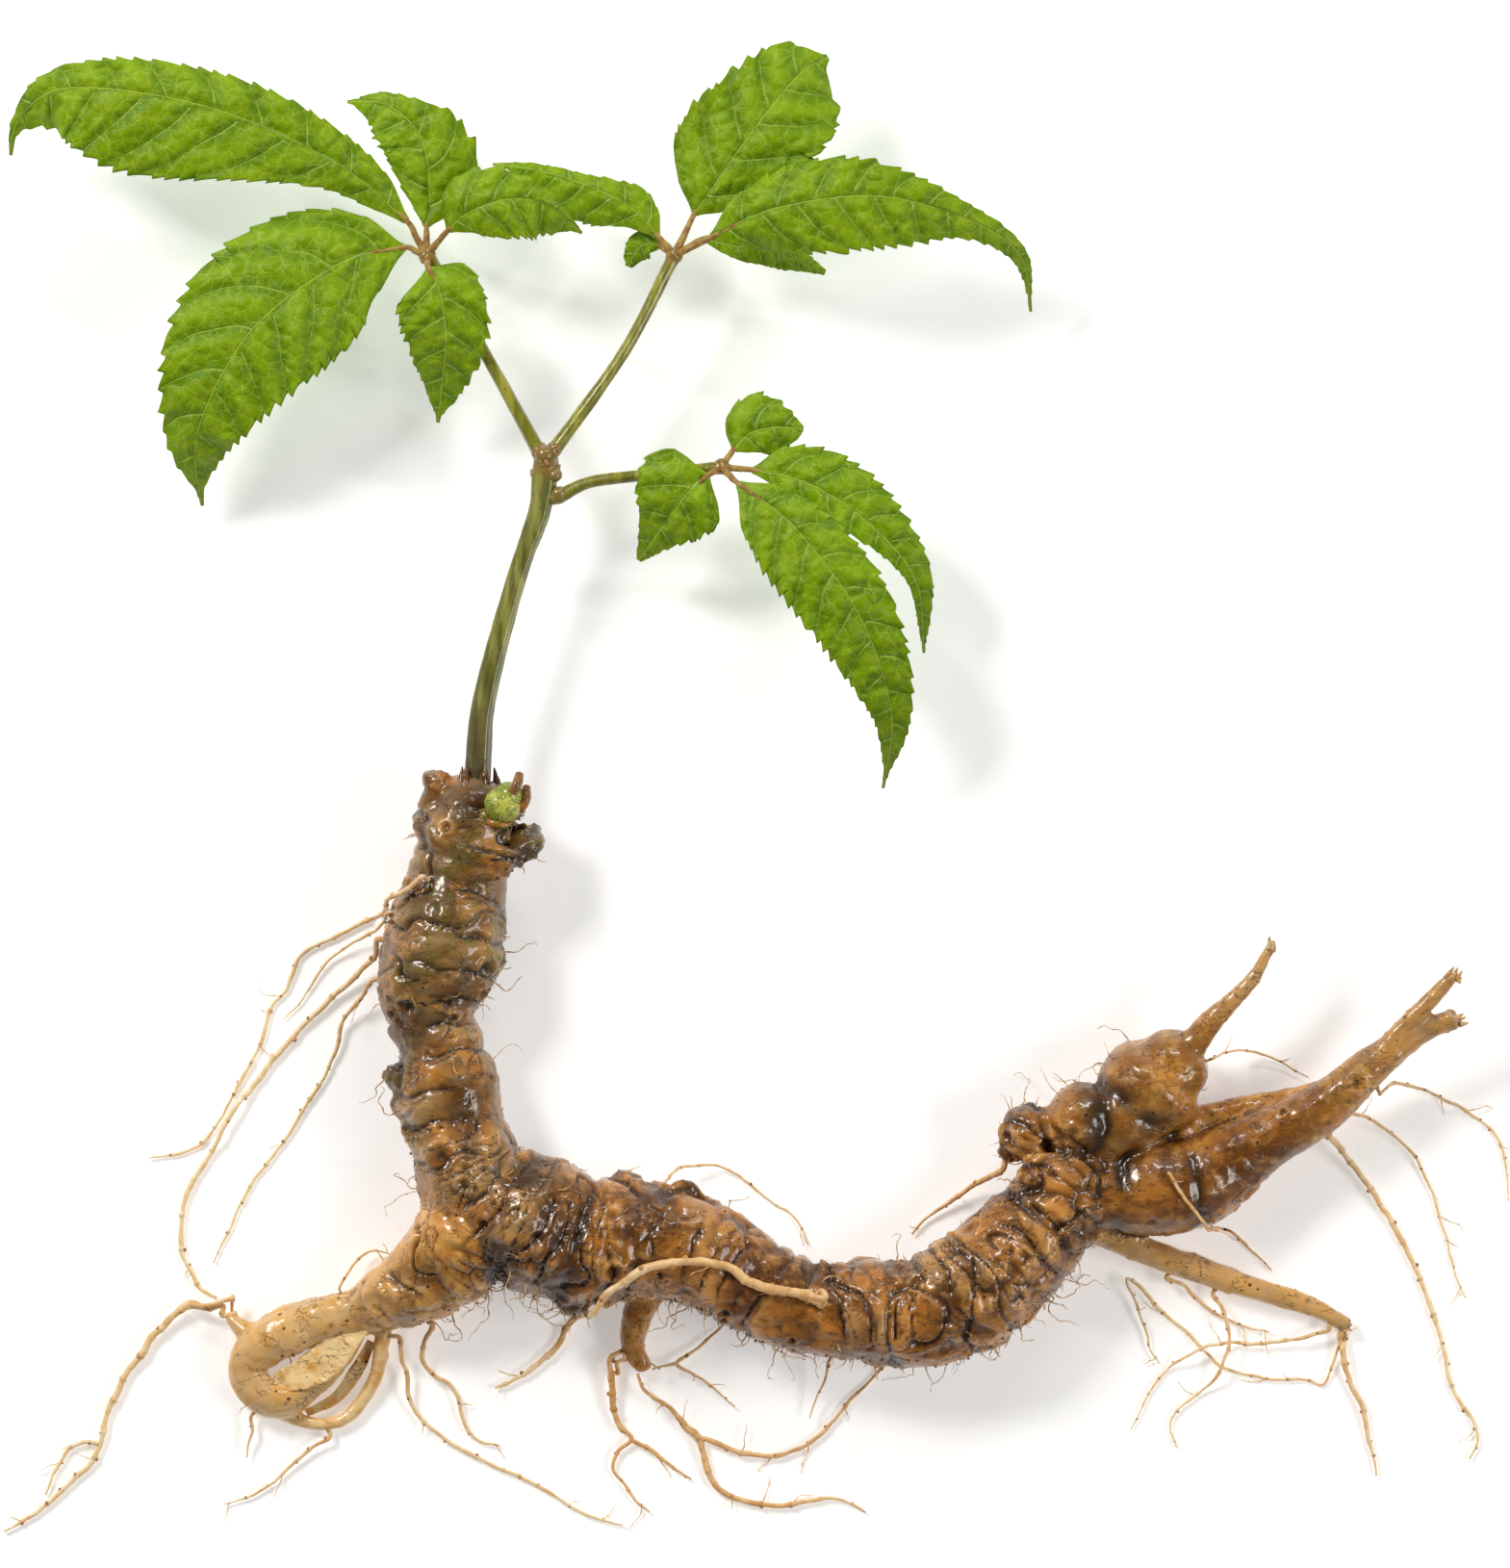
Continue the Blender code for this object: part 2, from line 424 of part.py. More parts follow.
def build_root_body():
    work = bmesh.new()
    for i, limb in enumerate(LIMBS):
        centres, radii = limb_points(limb)
        mesh = tube_mesh(f"limb_{i}", centres, radii, 4)
        work.from_mesh(mesh)
        ball_into(work, centres[0], radii[0])
        if limb not in (UPPER_PRONG, LOWER_TUBER):
            ball_into(work, centres[-1], radii[-1])
        bpy.data.meshes.remove(mesh)
    for x, y, z, r in KNOBS:
        ball_into(work, (x * PLAN, y * PLAN, z * BODY), r * BODY)
    mesh = bpy.data.meshes.new("root_body")
    work.to_mesh(mesh)
    work.free()
    root = place("root_body", mesh, "root")
    add_modifier(root, "REMESH", "grown_together", mode="VOXEL", voxel_size=1.1 * BODY, adaptivity=0.0)
    add_modifier(root, "SMOOTH", "soften", factor=0.5, iterations=4)
    add_modifier(root, "DECIMATE", "coarser", ratio=0.085)
    table = bpy.data.meshes.new("table_cutter")
    cut = bmesh.new()
    bmesh.ops.create_cube(cut, size=1.0)
    bmesh.ops.scale(cut, vec=(2 * PLANT_SPAN, 2 * PLANT_SPAN, 0.04), verts=cut.verts)
    bmesh.ops.translate(cut, vec=(0, 0, -0.02), verts=cut.verts)
    cut.to_mesh(table)
    cut.free()
    boolean(root, helper("table_cutter", table), "DIFFERENCE")
    axis = stem_axis()
    away = (axis[1] - axis[0]).normalized()
    bottom = axis[0] - away * SOCKET_DEPTH
    socket = cylinder_along("socket_cutter", bottom - away * GAP, axis[0] + away * 0.02,
                            STEM_DIAMETER / 2 * 1.15 + GAP * 1.5)
    boolean(root, socket, "DIFFERENCE")
    return root


def sink(root, depth):
    """Lower the grown body so that its lowest bellies are pressed flat on the table."""
    for vertex in root.data.vertices:
        vertex.co.z -= depth


def surface_of(obj):
    graph = bpy.context.evaluated_depsgraph_get()
    graph.update()
    return BVHTree.FromObject(obj, graph)


def build_stem():
    route = stem_axis()
    away = (route[1] - route[0]).normalized()
    route[0] = route[0] - away * SOCKET_DEPTH
    sized = [point.to_4d() for point in route]
    for point, (_, _, _, share) in zip(sized, STEM):
        point.w = share * STEM_DIAMETER / 2
    sized = even_points(sized, 2.6 * STEM_DIAMETER)
    mesh = tube_mesh("main_stem", [p.to_3d() for p in sized], [p.w for p in sized], 4)
    return place("main_stem", mesh, "stem")


def top_node():
    return stem_axis()[-1]


def leaf_stalk_route(name):
    """The leaf stalk's run from the top node to its hub, stretched to its length."""
    node = top_node()
    stretch = PETIOLE_LENGTH / 0.0470
    offsets = PETIOLES[name]
    first = Vector(offsets[0]) * MM
    return [node + first + (Vector(o) * MM - first) * stretch for o in offsets]


def cap_clear_start(route, radius, skin_tree, clear):
    """Move the route's first point along it until its end cap clears the skin."""
    start, ahead = route[0].copy(), route[1]
    way = (ahead - start).normalized()
    side = way.orthogonal().normalized()
    other = way.cross(side)
    for step in range(200):
        point = start + way * (step * 0.0001)
        rim = [point + (side * math.cos(a) + other * math.sin(a)) * radius
               for a in (i * math.tau / 8 for i in range(8))]
        rim += [p + way * radius for p in rim] + [point]
        if all(outside(skin_tree, p) > clear for p in rim):
            return [point] + route[1:]
    return route


def outside(tree, point):
    """Distance from the skin, negative inside it."""
    near, normal, _, distance = tree.find_nearest(point)
    return distance if (point - near).dot(normal) > 0 else -distance


def build_petiole(name, stem_tree):
    """A leaf stalk, with a short arm at its hub for each leaflet that it carries."""
    radius = PETIOLE_DIAMETER / 2
    route = cap_clear_start(leaf_stalk_route(name), radius, stem_tree, GAP)
    points = even_points(route, 3.2 * PETIOLE_DIAMETER)
    last = len(points) - 1
    radii = [radius * (1.4 if i == last else 1.0) for i in range(last + 1)]
    petiole = place(name, tube_mesh(name, points, radii, 3), "petiole")
    inner = points[last] - (points[last] - points[last - 1]).normalized() * radius
    for leaflet, spec in LEAFLETS.items():
        if spec[0] == name:
            end = leaflet_reach(spec, HUB_REACH - GAP)
            arm = tube_mesh(leaflet + "_arm", [inner, inner.lerp(end, 0.5), end], [STALK_DIAMETER / 2] * 3, 2)
            boolean(petiole, helper(leaflet + "_arm", arm), "UNION")
    return petiole


def leaflet_reach(spec, distance):
    """The point on the way from the hub to a leaflet's blade at this distance from the hub."""
    hub = hub_of(spec[0])
    return hub + (leaflet_midrib(spec)[0] - hub).normalized() * distance


def hub_of(name):
    return leaf_stalk_route(name)[-1]


def leaflet_midrib(spec):
    hub = hub_of(spec[0])
    return even_points([hub + Vector(p) * LEAF for p in spec[1]], 5 * LEAF)


def shaped(values, t):
    """The value at share t of a row of values given at STATIONS, smoothly joined."""
    for k in range(len(STATIONS) - 2, -1, -1):
        if t >= STATIONS[k]:
            u = (t - STATIONS[k]) / (STATIONS[k + 1] - STATIONS[k])
            a = values[max(k - 1, 0)]
            b, c = values[k], values[k + 1]
            d = values[min(k + 2, len(values) - 1)]
            m0, m1 = (c - a) / 2, (d - b) / 2
            return ((2 * u**3 - 3 * u**2 + 1) * b + (u**3 - 2 * u**2 + u) * m0
                    + (3 * u**2 - 2 * u**3) * c + (u**3 - u**2) * m1)
    return values[0]


def blade_point(midrib, spec, t, v):
    """A point of the blade: t runs from base to tip, v from -1 (right) to 1 (left)."""
    centre = catmull(midrib, t)
    ahead = catmull(midrib, min(t + 0.02, 1.0)) - catmull(midrib, max(t - 0.02, 0.0))
    side = Vector((-ahead.y, ahead.x, 0.0)).normalized()
    widths, droop = (spec[2], spec[4]) if v > 0 else (spec[3], spec[5])
    width = max(shaped(widths, t), 0.5) * LEAF
    return centre + side * v * width + Vector((0, 0, abs(v) ** 1.5 * width * droop))


def build_leaflet(name, spec, hub_tree):
    midrib = leaflet_midrib(spec)
    work = bmesh.new()
    along, across = (12 if (midrib[-1] - midrib[0]).length > 20 * LEAF else 7), 4
    bmesh.ops.create_grid(work, x_segments=along, y_segments=across, size=1.0)
    for vertex in work.verts:
        t, v = (vertex.co.x + 1) / 2, vertex.co.y
        vertex.co = blade_point(midrib, spec, t, v)
    mesh = bpy.data.meshes.new(name)
    work.to_mesh(mesh)
    work.free()
    blade = place(name, mesh, "leaflet")
    add_modifier(blade, "SOLIDIFY", "blade_thickness", thickness=LEAFLET_THICKNESS, offset=0.0)
    radius = STALK_DIAMETER / 2
    inner = catmull(midrib, 0.14)
    start = cap_clear_start([leaflet_reach(spec, HUB_REACH), inner], radius, hub_tree, GAP)[0]
    start = [start, start.lerp(inner, 0.5), inner]
    stalk = helper(name + "_stalk", tube_mesh(name + "_stalk", start, [radius] * 3, 2))
    boolean(blade, stalk, "UNION").use_self = True
    return blade


class Fine:
    """The rootlets laid so far, as balls along their routes, to keep new ones clear."""

    def __init__(self):
        self.laid = []

    def add(self, points, radii):
        for (a, b), (ra, rb) in zip(zip(points, points[1:]), zip(radii, radii[1:])):
            steps = max(1, round((b - a).length / MM))
            self.laid += [(a.lerp(b, i / steps), ra + (rb - ra) * i / steps) for i in range(steps + 1)]

    def shortfall(self, point, radius):
        worst = 0.0
        for other, size in self.laid:
            flat = math.hypot(point.x - other.x, point.y - other.y)
            need = radius + size + GAP * 2.5
            if flat < need:
                wanted = other.z + math.sqrt(need * need - flat * flat)
                if abs(point.z - other.z) < need or point.z < other.z:
                    worst = max(worst, wanted - point.z)
        return worst


def push_off(point, radius, tree):
    """The point moved just clear of the root's skin, and never into the table."""
    need = radius + GAP * 2
    for _ in range(12):
        near, normal, _, distance = tree.find_nearest(point)
        inside = (point - near).dot(normal) < 0
        if not inside and distance >= need:
            break
        way = normal if inside or distance < 1e-5 else (point - near).normalized()
        if way.z < 0 and near.z + way.z * need < radius + LIE:
            way = Vector((way.x, way.y, 0.0))
            way = way.normalized() if way.length > 1e-6 else Vector((1, 0, 0))
            point = point + way * (need if inside else need - distance + 0.0001)
        else:
            point = near + way * (need + 0.00005)
        point.z = max(point.z, radius + LIE)
    return point


def bow_out(points, radii, tree):
    """Moves the ends of each straight run that would dip into the skin between them."""
    moved = [point.copy() for point in points]
    for i, (a, b) in enumerate(zip(points, points[1:])):
        for share in (0.25, 0.5, 0.75):
            middle = a.lerp(b, share)
            shift = push_off(middle.copy(), radii[i], tree) - middle
            if shift.length > 1e-6:
                moved[i] += shift * (1 - share) * 0.7
                moved[i + 1] += shift * share * 0.7
    return [push_off(p, r, tree) for p, r in zip(moved, radii)]


def top_of(tree, point):
    hit = tree.ray_cast(Vector((point.x, point.y, 0.1)), Vector((0, 0, -1)))
    return hit[0].z if hit[0] is not None else -1.0


def lay_rootlet(route, start, radii_ends, over, tree, fine):
    """Settled centre points of a rootlet: off the skin, down, and along the table."""
    typical = ROOTLET_DIAMETER / 2
    r0, r1 = (typical * share for share in radii_ends)
    flat = [Vector((x * PLAN, y * PLAN, 0.0)) for x, y in route]
    points = even_points(flat, 2.6 * ROOTLET_DIAMETER)
    count = len(points) - 1
    radii = [r0 + (r1 - r0) * i / count for i in range(count + 1)]
    run = 0.0
    for i, point in enumerate(points):
        run += (point - points[i - 1]).length if i else 0.0
        low = radii[i] + LIE
        point.z = low + max(start.z - low, 0.0) * math.exp(-(run / (14 * MM)) ** 1.4)
        if over:
            point.z = max(point.z, top_of(tree, point) + radii[i] + GAP * 3)
    points = [push_off(p, r, tree) for p, r in zip(points, radii)]
    for _ in range(6):
        points = bow_out(points, radii, tree)
    lift_over(points, radii, fine)
    return points, radii


def lift_over(points, radii, fine):
    """Raises the points of a rootlet until it crosses over the ones laid before it."""
    for _ in range(6):
        lift = [fine.shortfall(p, r) for p, r in zip(points, radii)]
        for i, (a, b) in enumerate(zip(points, points[1:])):
            middle = max(fine.shortfall(a.lerp(b, k / 4), radii[i]) for k in (1, 2, 3))
            lift[i], lift[i + 1] = max(lift[i], middle), max(lift[i + 1], middle)
        for point, more in zip(points, lift):
            point.z += more


def rootlet_start(name, spec, tree):
    """Where the rootlet leaves the skin, and the way that it leaves it."""
    x, y = spec[4][0]
    seed = Vector((x * PLAN, y * PLAN, spec[0] * BODY))
    near, normal, _, _ = tree.find_nearest(seed)
    if normal.z < -0.3:
        normal = Vector((normal.x, normal.y, 0.0)).normalized()
    return near, normal


def build_rootlet(name, spec, tree, fine):
    _, first, last, over, route, forks = spec
    near, normal = rootlet_start(name, spec, tree)
    points, radii = lay_rootlet(route, near, (first, last), over, tree, fine)
    lead = near + normal * (GAP + 2.4 * radii[0])
    lead = push_off(lead, radii[0], tree)
    base = cap_clear_start([near + (lead - near) * 0.02, lead], radii[0], tree, GAP)[0]
    kept = [(p, r) for p, r in zip(points, radii) if (p - lead).length > 2.0 * radii[0]]
    points = [base, lead] + [p for p, _ in kept]
    radii = [radii[0], radii[0]] + [r for _, r in kept]
    for _ in range(LEAD_PASSES):
        points[1:] = bow_out(points[1:], radii[1:], tree)
    lift_over(points, radii, fine)
    obj = place(name, tube_mesh(name, points, radii, 1), "rootlet")
    laid = [(points, radii)]
    for k, (share, branch) in enumerate(forks):
        at = round(share * (len(points) - 1))
        flat = [(points[at].x / PLAN, points[at].y / PLAN)] + branch
        more, sizes = lay_rootlet(flat, points[at], (radii[at] / ROOTLET_DIAMETER * 1.6, last * 0.9),
                                  over, tree, fine)
        more[0] = points[at].copy()
        mesh = tube_mesh(f"{name}_fork_{k}", more, sizes, 1)
        boolean(obj, helper(f"{name}_fork_{k}", mesh), "UNION")
        laid.append((more, sizes))
    for line in laid:
        fine.add(*line)
    return obj


def build():
    root = build_root_body()
    sink(root, REST_CUT)
    tree = surface_of(root)
    stem = build_stem()
    stem_tree = surface_of(stem)
    hubs = {name: surface_of(build_petiole(name, stem_tree)) for name in PETIOLES}
    for name, spec in LEAFLETS.items():
        build_leaflet(name, spec, hubs[spec[0]])
    fine = Fine()
    for name, spec in ROOTLETS.items():
        build_rootlet(name, spec, tree, fine)
    HELPERS.hide_render = True


build()
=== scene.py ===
# %% [markdown]
# # A ginseng plant lying on a pale table
#
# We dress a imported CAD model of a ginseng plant: one thick ringed rhizome with
# branch roots and tubers, fine straw-coloured rootlets, a slim stem, three
# leaf stalks and toothed leaflets. The CAD pieces give the size and the place
# of everything. Here we grow the bark, the veins and the hairs around them.

# %% Load the frame
import math

import bpy
import bmesh
import numpy as np
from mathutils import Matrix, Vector


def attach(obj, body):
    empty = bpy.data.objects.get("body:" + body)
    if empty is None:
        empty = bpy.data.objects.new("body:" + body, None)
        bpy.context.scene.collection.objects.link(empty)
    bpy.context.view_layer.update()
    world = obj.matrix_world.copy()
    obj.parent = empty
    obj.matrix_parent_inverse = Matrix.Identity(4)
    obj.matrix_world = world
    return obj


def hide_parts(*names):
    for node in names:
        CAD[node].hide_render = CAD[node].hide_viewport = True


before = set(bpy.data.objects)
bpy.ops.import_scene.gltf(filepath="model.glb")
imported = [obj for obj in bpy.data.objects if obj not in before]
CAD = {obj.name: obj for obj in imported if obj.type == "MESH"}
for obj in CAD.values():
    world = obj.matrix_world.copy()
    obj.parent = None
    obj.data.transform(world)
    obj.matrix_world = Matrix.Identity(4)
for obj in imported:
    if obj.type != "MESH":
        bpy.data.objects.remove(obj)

numbers = np.random.default_rng(11)
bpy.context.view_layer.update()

# %% [markdown]
# ## Noise made by hand
#
# Nature never repeats, so nearly every shape below is pushed about by noise.
# We write two kinds with numpy, because they must run on whole meshes at once:
# soft value noise for lumps, and cell noise for plates and pebbles.

# %% Noise
MM = 0.001


def lattice(i, j, k, seed):
    """A repeatable random number, 0 to 1, for each whole-number grid corner."""
    h = (i * 374761393 + j * 668265263 + k * 1440662683 + seed * 974711) & 0xFFFFFFFF
    h = ((h ^ (h >> 13)) * 1274126177) & 0xFFFFFFFF
    h = ((h ^ (h >> 15)) * 2246822519) & 0xFFFFFFFF
    return ((h ^ (h >> 16)) & 0xFFFFFF) / 0xFFFFFF


def noise(points, size, seed=0):
    """Smooth noise from -1 to 1; size is the width of one blob, in the points' own unit."""
    q = points / size
    base = np.floor(q).astype(np.int64)
    f = q - base
    f = f * f * (3 - 2 * f)
    total = 0
    for di in (0, 1):
        for dj in (0, 1):
            for dk in (0, 1):
                share = (np.where(di, f[:, 0], 1 - f[:, 0]) * np.where(dj, f[:, 1], 1 - f[:, 1])
                         * np.where(dk, f[:, 2], 1 - f[:, 2]))
                total = total + share * lattice(base[:, 0] + di, base[:, 1] + dj, base[:, 2] + dk, seed)
    return total * 2 - 1


def layered(points, size, seed, layers):
    """Noise with finer and weaker noise laid over it."""
    return sum(noise(points, size / 2 ** n, seed + n) / 2 ** n for n in range(layers)) / 1.75


def cells(points, size, seed):
    """Distance to the nearest and the second nearest of scattered seeds, in cell widths."""
    q = points / size
    base = np.floor(q).astype(np.int64)
    first = np.full(len(q), 9.0)
    second = first.copy()
    for di in (-1, 0, 1):
        for dj in (-1, 0, 1):
            for dk in (-1, 0, 1):
                cell = base + (di, dj, dk)
                spot = np.stack([lattice(*cell.T, seed + n) for n in range(3)], 1)
                far = np.linalg.norm(cell + spot - q, axis=1)
                nearer = far < first
                second = np.where(nearer, first, np.minimum(second, far))
                first = np.where(nearer, far, first)
    return first, second


def smooth_step(x, low, high):
    """0 below the low limit, 1 above the high one, and an easy slope between."""
    t = np.clip((x - low) / (high - low), 0, 1)
    return t * t * (3 - 2 * t)


print("noise check:", noise(np.array([[0.1, 0.2, 0.3]]), 0.05).round(3))

# %% [markdown]
# ## Paths and meshes
#
# A root, a stem and a hair are all the same thing to a modeller: a round
# section carried along a smooth path. So one helper reads even points from a
# smooth curve, and another wraps rings around them.

# %% Paths and tubes
def smooth_path(route, spacing):
    """Even points along the smooth curve through a route; extra columns come along."""
    route = np.asarray(route, float)
    n = len(route) - 1
    t = np.linspace(0, n, 60 * n + 1)
    k = np.minimum(t.astype(int), n - 1)
    u = (t - k)[:, None]
    a, b, c, d = (route[np.clip(k + i, 0, n)] for i in (-1, 0, 1, 2))
    dense = 0.5 * (2 * b + (c - a) * u + (2 * a - 5 * b + 4 * c - d) * u ** 2
                   + (3 * b - a - 3 * c + d) * u ** 3)
    run = np.r_[0, np.cumsum(np.linalg.norm(np.diff(dense[:, :3], axis=0), axis=1))]
    count = max(3, int(round(run[-1] / spacing)))
    wanted = np.linspace(0, run[-1], count + 1)
    return np.stack([np.interp(wanted, run, column) for column in dense.T], 1), wanted


def frames(points):
    """Forward, side and up at each point of a path, turning as little as possible."""
    forward = np.gradient(points, axis=0)
    forward /= np.linalg.norm(forward, axis=1)[:, None] + 1e-12
    up = np.array([0.0, 0.0, 1.0]) if abs(forward[0, 2]) < 0.9 else np.array([1.0, 0.0, 0.0])
    ups = []
    for way in forward:
        up = up - way * up.dot(way)
        up /= np.linalg.norm(up) + 1e-12
        ups.append(up)
    ups = np.array(ups)
    return forward, np.cross(forward, ups), ups


def tube(points, radii, sides):
    """Corners and faces of a closed tube with a rounded tip at each end."""
    points, radii = np.asarray(points, float), np.asarray(radii, float)
    _, side, up = frames(points)
    angle = np.linspace(0, math.tau, sides, endpoint=False)
    ring = (np.cos(angle)[None, :, None] * side[:, None] + np.sin(angle)[None, :, None] * up[:, None])
    corners = (points[:, None] + ring * radii[:, None, None]).reshape(-1, 3)
    n = len(points)
    faces = []
    for i in range(n - 1):
        for j in range(sides):
            k = (j + 1) % sides
            faces.append((i * sides + j, i * sides + k, (i + 1) * sides + k, (i + 1) * sides + j))
    faces.append(tuple(range(sides - 1, -1, -1)))
    faces.append(tuple((n - 1) * sides + j for j in range(sides)))
    return corners, faces


def join_shapes(shapes):
    """Several (corners, faces) made one."""
    corners, faces, start = [], [], 0
    for points, sides in shapes:
        corners.append(points)
        faces += [tuple(i + start for i in face) for face in sides]
        start += len(points)
    return np.concatenate(corners), faces


def make_object(name, corners, faces):
    mesh = bpy.data.meshes.new(name)
    mesh.from_pydata([tuple(c) for c in corners], [], faces)
    mesh.validate()
    mesh.update()
    mesh.shade_smooth()
    piece = bpy.data.objects.new(name, mesh)
    bpy.context.scene.collection.objects.link(piece)
    return piece


def set_attribute(piece, name, values):
    layer = piece.data.attributes.new(name, "FLOAT", "POINT")
    layer.data.foreach_set("value", np.asarray(values, np.float32))


def corners_of(mesh):
    flat = np.empty(len(mesh.vertices) * 3)
    mesh.vertices.foreach_get("co", flat)
    return flat.reshape(-1, 3)


def normals_of(mesh):
    flat = np.empty(len(mesh.vertices) * 3, np.float32)
    mesh.vertex_normals.foreach_get("vector", flat)
    return flat.reshape(-1, 3).astype(float)


path, run = smooth_path([(0, 0, 0), (0, 0.01, 0), (0.01, 0.02, 0)], 0.002)
print("a test path has", len(path), "points over", round(run[-1] * 1000, 1), "mm")

# %% [markdown]
# ## A kit for materials
#
# Every finish here is a small recipe of texture nodes. This kit keeps each
# recipe short: it makes one material, and its methods add a node and hand back
# the socket that comes out of it.

# %% Material kit
def as_light(step):
    """One 0 to 255 step of an everyday colour as an amount of light."""
    return ((step / 255 + 0.055) / 1.055) ** 2.4 if step > 10 else step / 3295


def colour(red, green, blue):
    """An everyday 0 to 255 colour as the linear values that a shader wants."""
    return as_light(red), as_light(green), as_light(blue), 1


class Recipe:
    def __init__(self, name):
        self.material = bpy.data.materials.new(name)
        self.material.use_nodes = True
        self.tree = self.material.node_tree
        self.shader = self.tree.nodes["Principled BSDF"]
        self.place = self.node("ShaderNodeTexCoord").outputs["Object"]

    def node(self, kind, **settings):
        made = self.tree.nodes.new(kind)
        for key, value in settings.items():
            setattr(made, key, value)
        return made

    def feed(self, socket, value):
        if isinstance(value, bpy.types.NodeSocket):
            self.tree.links.new(value, socket)
        else:
            socket.default_value = value

    def attribute(self, name):
        return self.node("ShaderNodeAttribute", attribute_name=name).outputs["Fac"]

    def noise(self, scale, detail=4.0, where=None, roughness=0.55):
        made = self.node("ShaderNodeTexNoise")
        self.feed(made.inputs["Vector"], where or self.place)
        self.feed(made.inputs["Scale"], scale)
        self.feed(made.inputs["Detail"], detail)
        self.feed(made.inputs["Roughness"], roughness)
        return made.outputs["Fac"]

    def voronoi(self, scale, feature="F1", where=None):
        made = self.node("ShaderNodeTexVoronoi", feature=feature)
        self.feed(made.inputs["Vector"], where or self.place)
        self.feed(made.inputs["Scale"], scale)
        return made.outputs["Distance"]

    def math(self, operation, first, second=0.0, clamp=False):
        made = self.node("ShaderNodeMath", operation=operation, use_clamp=clamp)
        self.feed(made.inputs[0], first)
        self.feed(made.inputs[1], second)
        return made.outputs[0]

    def band(self, value, low, high, out_low=0.0, out_high=1.0):
        """Map a value between two limits, smoothly and clamped."""
        made = self.node("ShaderNodeMapRange", interpolation_type="SMOOTHSTEP")
        for socket, given in zip(made.inputs, (value, low, high, out_low, out_high)):
            self.feed(socket, given)
        return made.outputs[0]

    def mix(self, share, first, second):
        made = self.node("ShaderNodeMix", data_type="RGBA")
        self.feed(made.inputs[0], share)
        self.feed(made.inputs[6], first)
        self.feed(made.inputs[7], second)
        return made.outputs[2]

    def stretch(self, x, y, z):
        made = self.node("ShaderNodeMapping")
        self.feed(made.inputs["Vector"], self.place)
        made.inputs["Scale"].default_value = (x, y, z)
        return made.outputs[0]

    def combine(self, x, y):
        made = self.node("ShaderNodeCombineXYZ")
        for socket, given in zip(made.inputs, (x, y)):
            self.feed(socket, given)
        return made.outputs[0]

    def finish(self, tone, roughness, height=None, depth=0.0002, strength=1.0, **constants):
        self.feed(self.shader.inputs["Base Color"], tone)
        self.feed(self.shader.inputs["Roughness"], roughness)
        for name, value in constants.items():
            self.shader.inputs[name.replace("_", " ")].default_value = value
        if height is not None:
            bump = self.node("ShaderNodeBump")
            bump.inputs["Strength"].default_value = strength
            bump.inputs["Distance"].default_value = depth
            self.feed(bump.inputs["Height"], height)
            self.feed(self.shader.inputs["Normal"], bump.outputs[0])
        return self.material


print("material kit ready")

# %% [markdown]
# ## Camera, table and light
#
# The plant lies on its back, so we look straight down at it through a long
# lens, which keeps near leaves and far roots at nearly the same scale. The
# table is pale. The dome of light round it is bright at the sides and dim
# overhead, so wet bark keeps deep darks in the middle and pale rims. Soft
# lamps model the forms, and a narrow one wakes the wet shine of the bark.

# %% Camera, table and light
scene = bpy.context.scene
LENS = 200.0                    # mm
CAMERA_HEIGHT = 1.810           # m
TABLE_GLOW = 0.36               # keeps the pale table nearly white between the lamps
WARM_SKY = (1.0, 0.975, 0.94, 1)
DOME_SIDES, DOME_TOP = 0.35, 0.05       # strength of the dome low down and overhead
DOME_FADE = (0.25, 0.85)                # the heights on the dome where the fading starts and ends
camera_data = bpy.data.cameras.new("camera")
camera_data.lens = LENS
camera_data.sensor_width = 36.0
camera_data.clip_start = 0.1
camera_data.clip_end = 10.0
camera = bpy.data.objects.new("camera", camera_data)
camera.location = (0.0, 0.0014, CAMERA_HEIGHT)
scene.collection.objects.link(camera)
scene.camera = camera
scene.view_settings.view_transform = "Standard"

table_recipe = Recipe("table_top")
table_tone = table_recipe.mix(table_recipe.noise(3.0), (0.86, 0.86, 0.86, 1), (0.89, 0.89, 0.885, 1))
table_recipe.finish(table_tone, 0.8, Emission_Color=(1.0, 1.0, 1.0, 1), Emission_Strength=TABLE_GLOW)
bpy.ops.mesh.primitive_plane_add(size=6.0, location=(0, 0, 0))
table = bpy.context.object
table.name = "table"
table.data.materials.append(table_recipe.material)

sky = bpy.data.worlds.new("overcast")
scene.world = sky
sky.use_nodes = True
sky_nodes = sky.node_tree.nodes
sky_nodes["Background"].inputs["Color"].default_value = WARM_SKY
direction = sky_nodes.new("ShaderNodeTexCoord")
split = sky_nodes.new("ShaderNodeSeparateXYZ")
fall_off = sky_nodes.new("ShaderNodeMapRange")
sky.node_tree.links.new(direction.outputs["Generated"], split.inputs[0])
sky.node_tree.links.new(split.outputs["Z"], fall_off.inputs[0])
for socket, value in zip(fall_off.inputs[1:5], (*DOME_FADE, DOME_SIDES, DOME_TOP)):
    socket.default_value = value
sky.node_tree.links.new(fall_off.outputs[0], sky_nodes["Background"].inputs["Strength"])


def soft_lamp(name, place, size, power, tone=(1, 1, 1)):
    """A rectangular lamp that points at the middle of the table."""
    data = bpy.data.lights.new(name, "AREA")
    data.shape = "RECTANGLE"
    data.size, data.size_y = size
    data.energy = power
    data.color = tone
    lamp = bpy.data.objects.new(name, data)
    lamp.location = place
    lamp.rotation_euler = (-Vector(place)).to_track_quat("-Z", "Y").to_euler()
    scene.collection.objects.link(lamp)


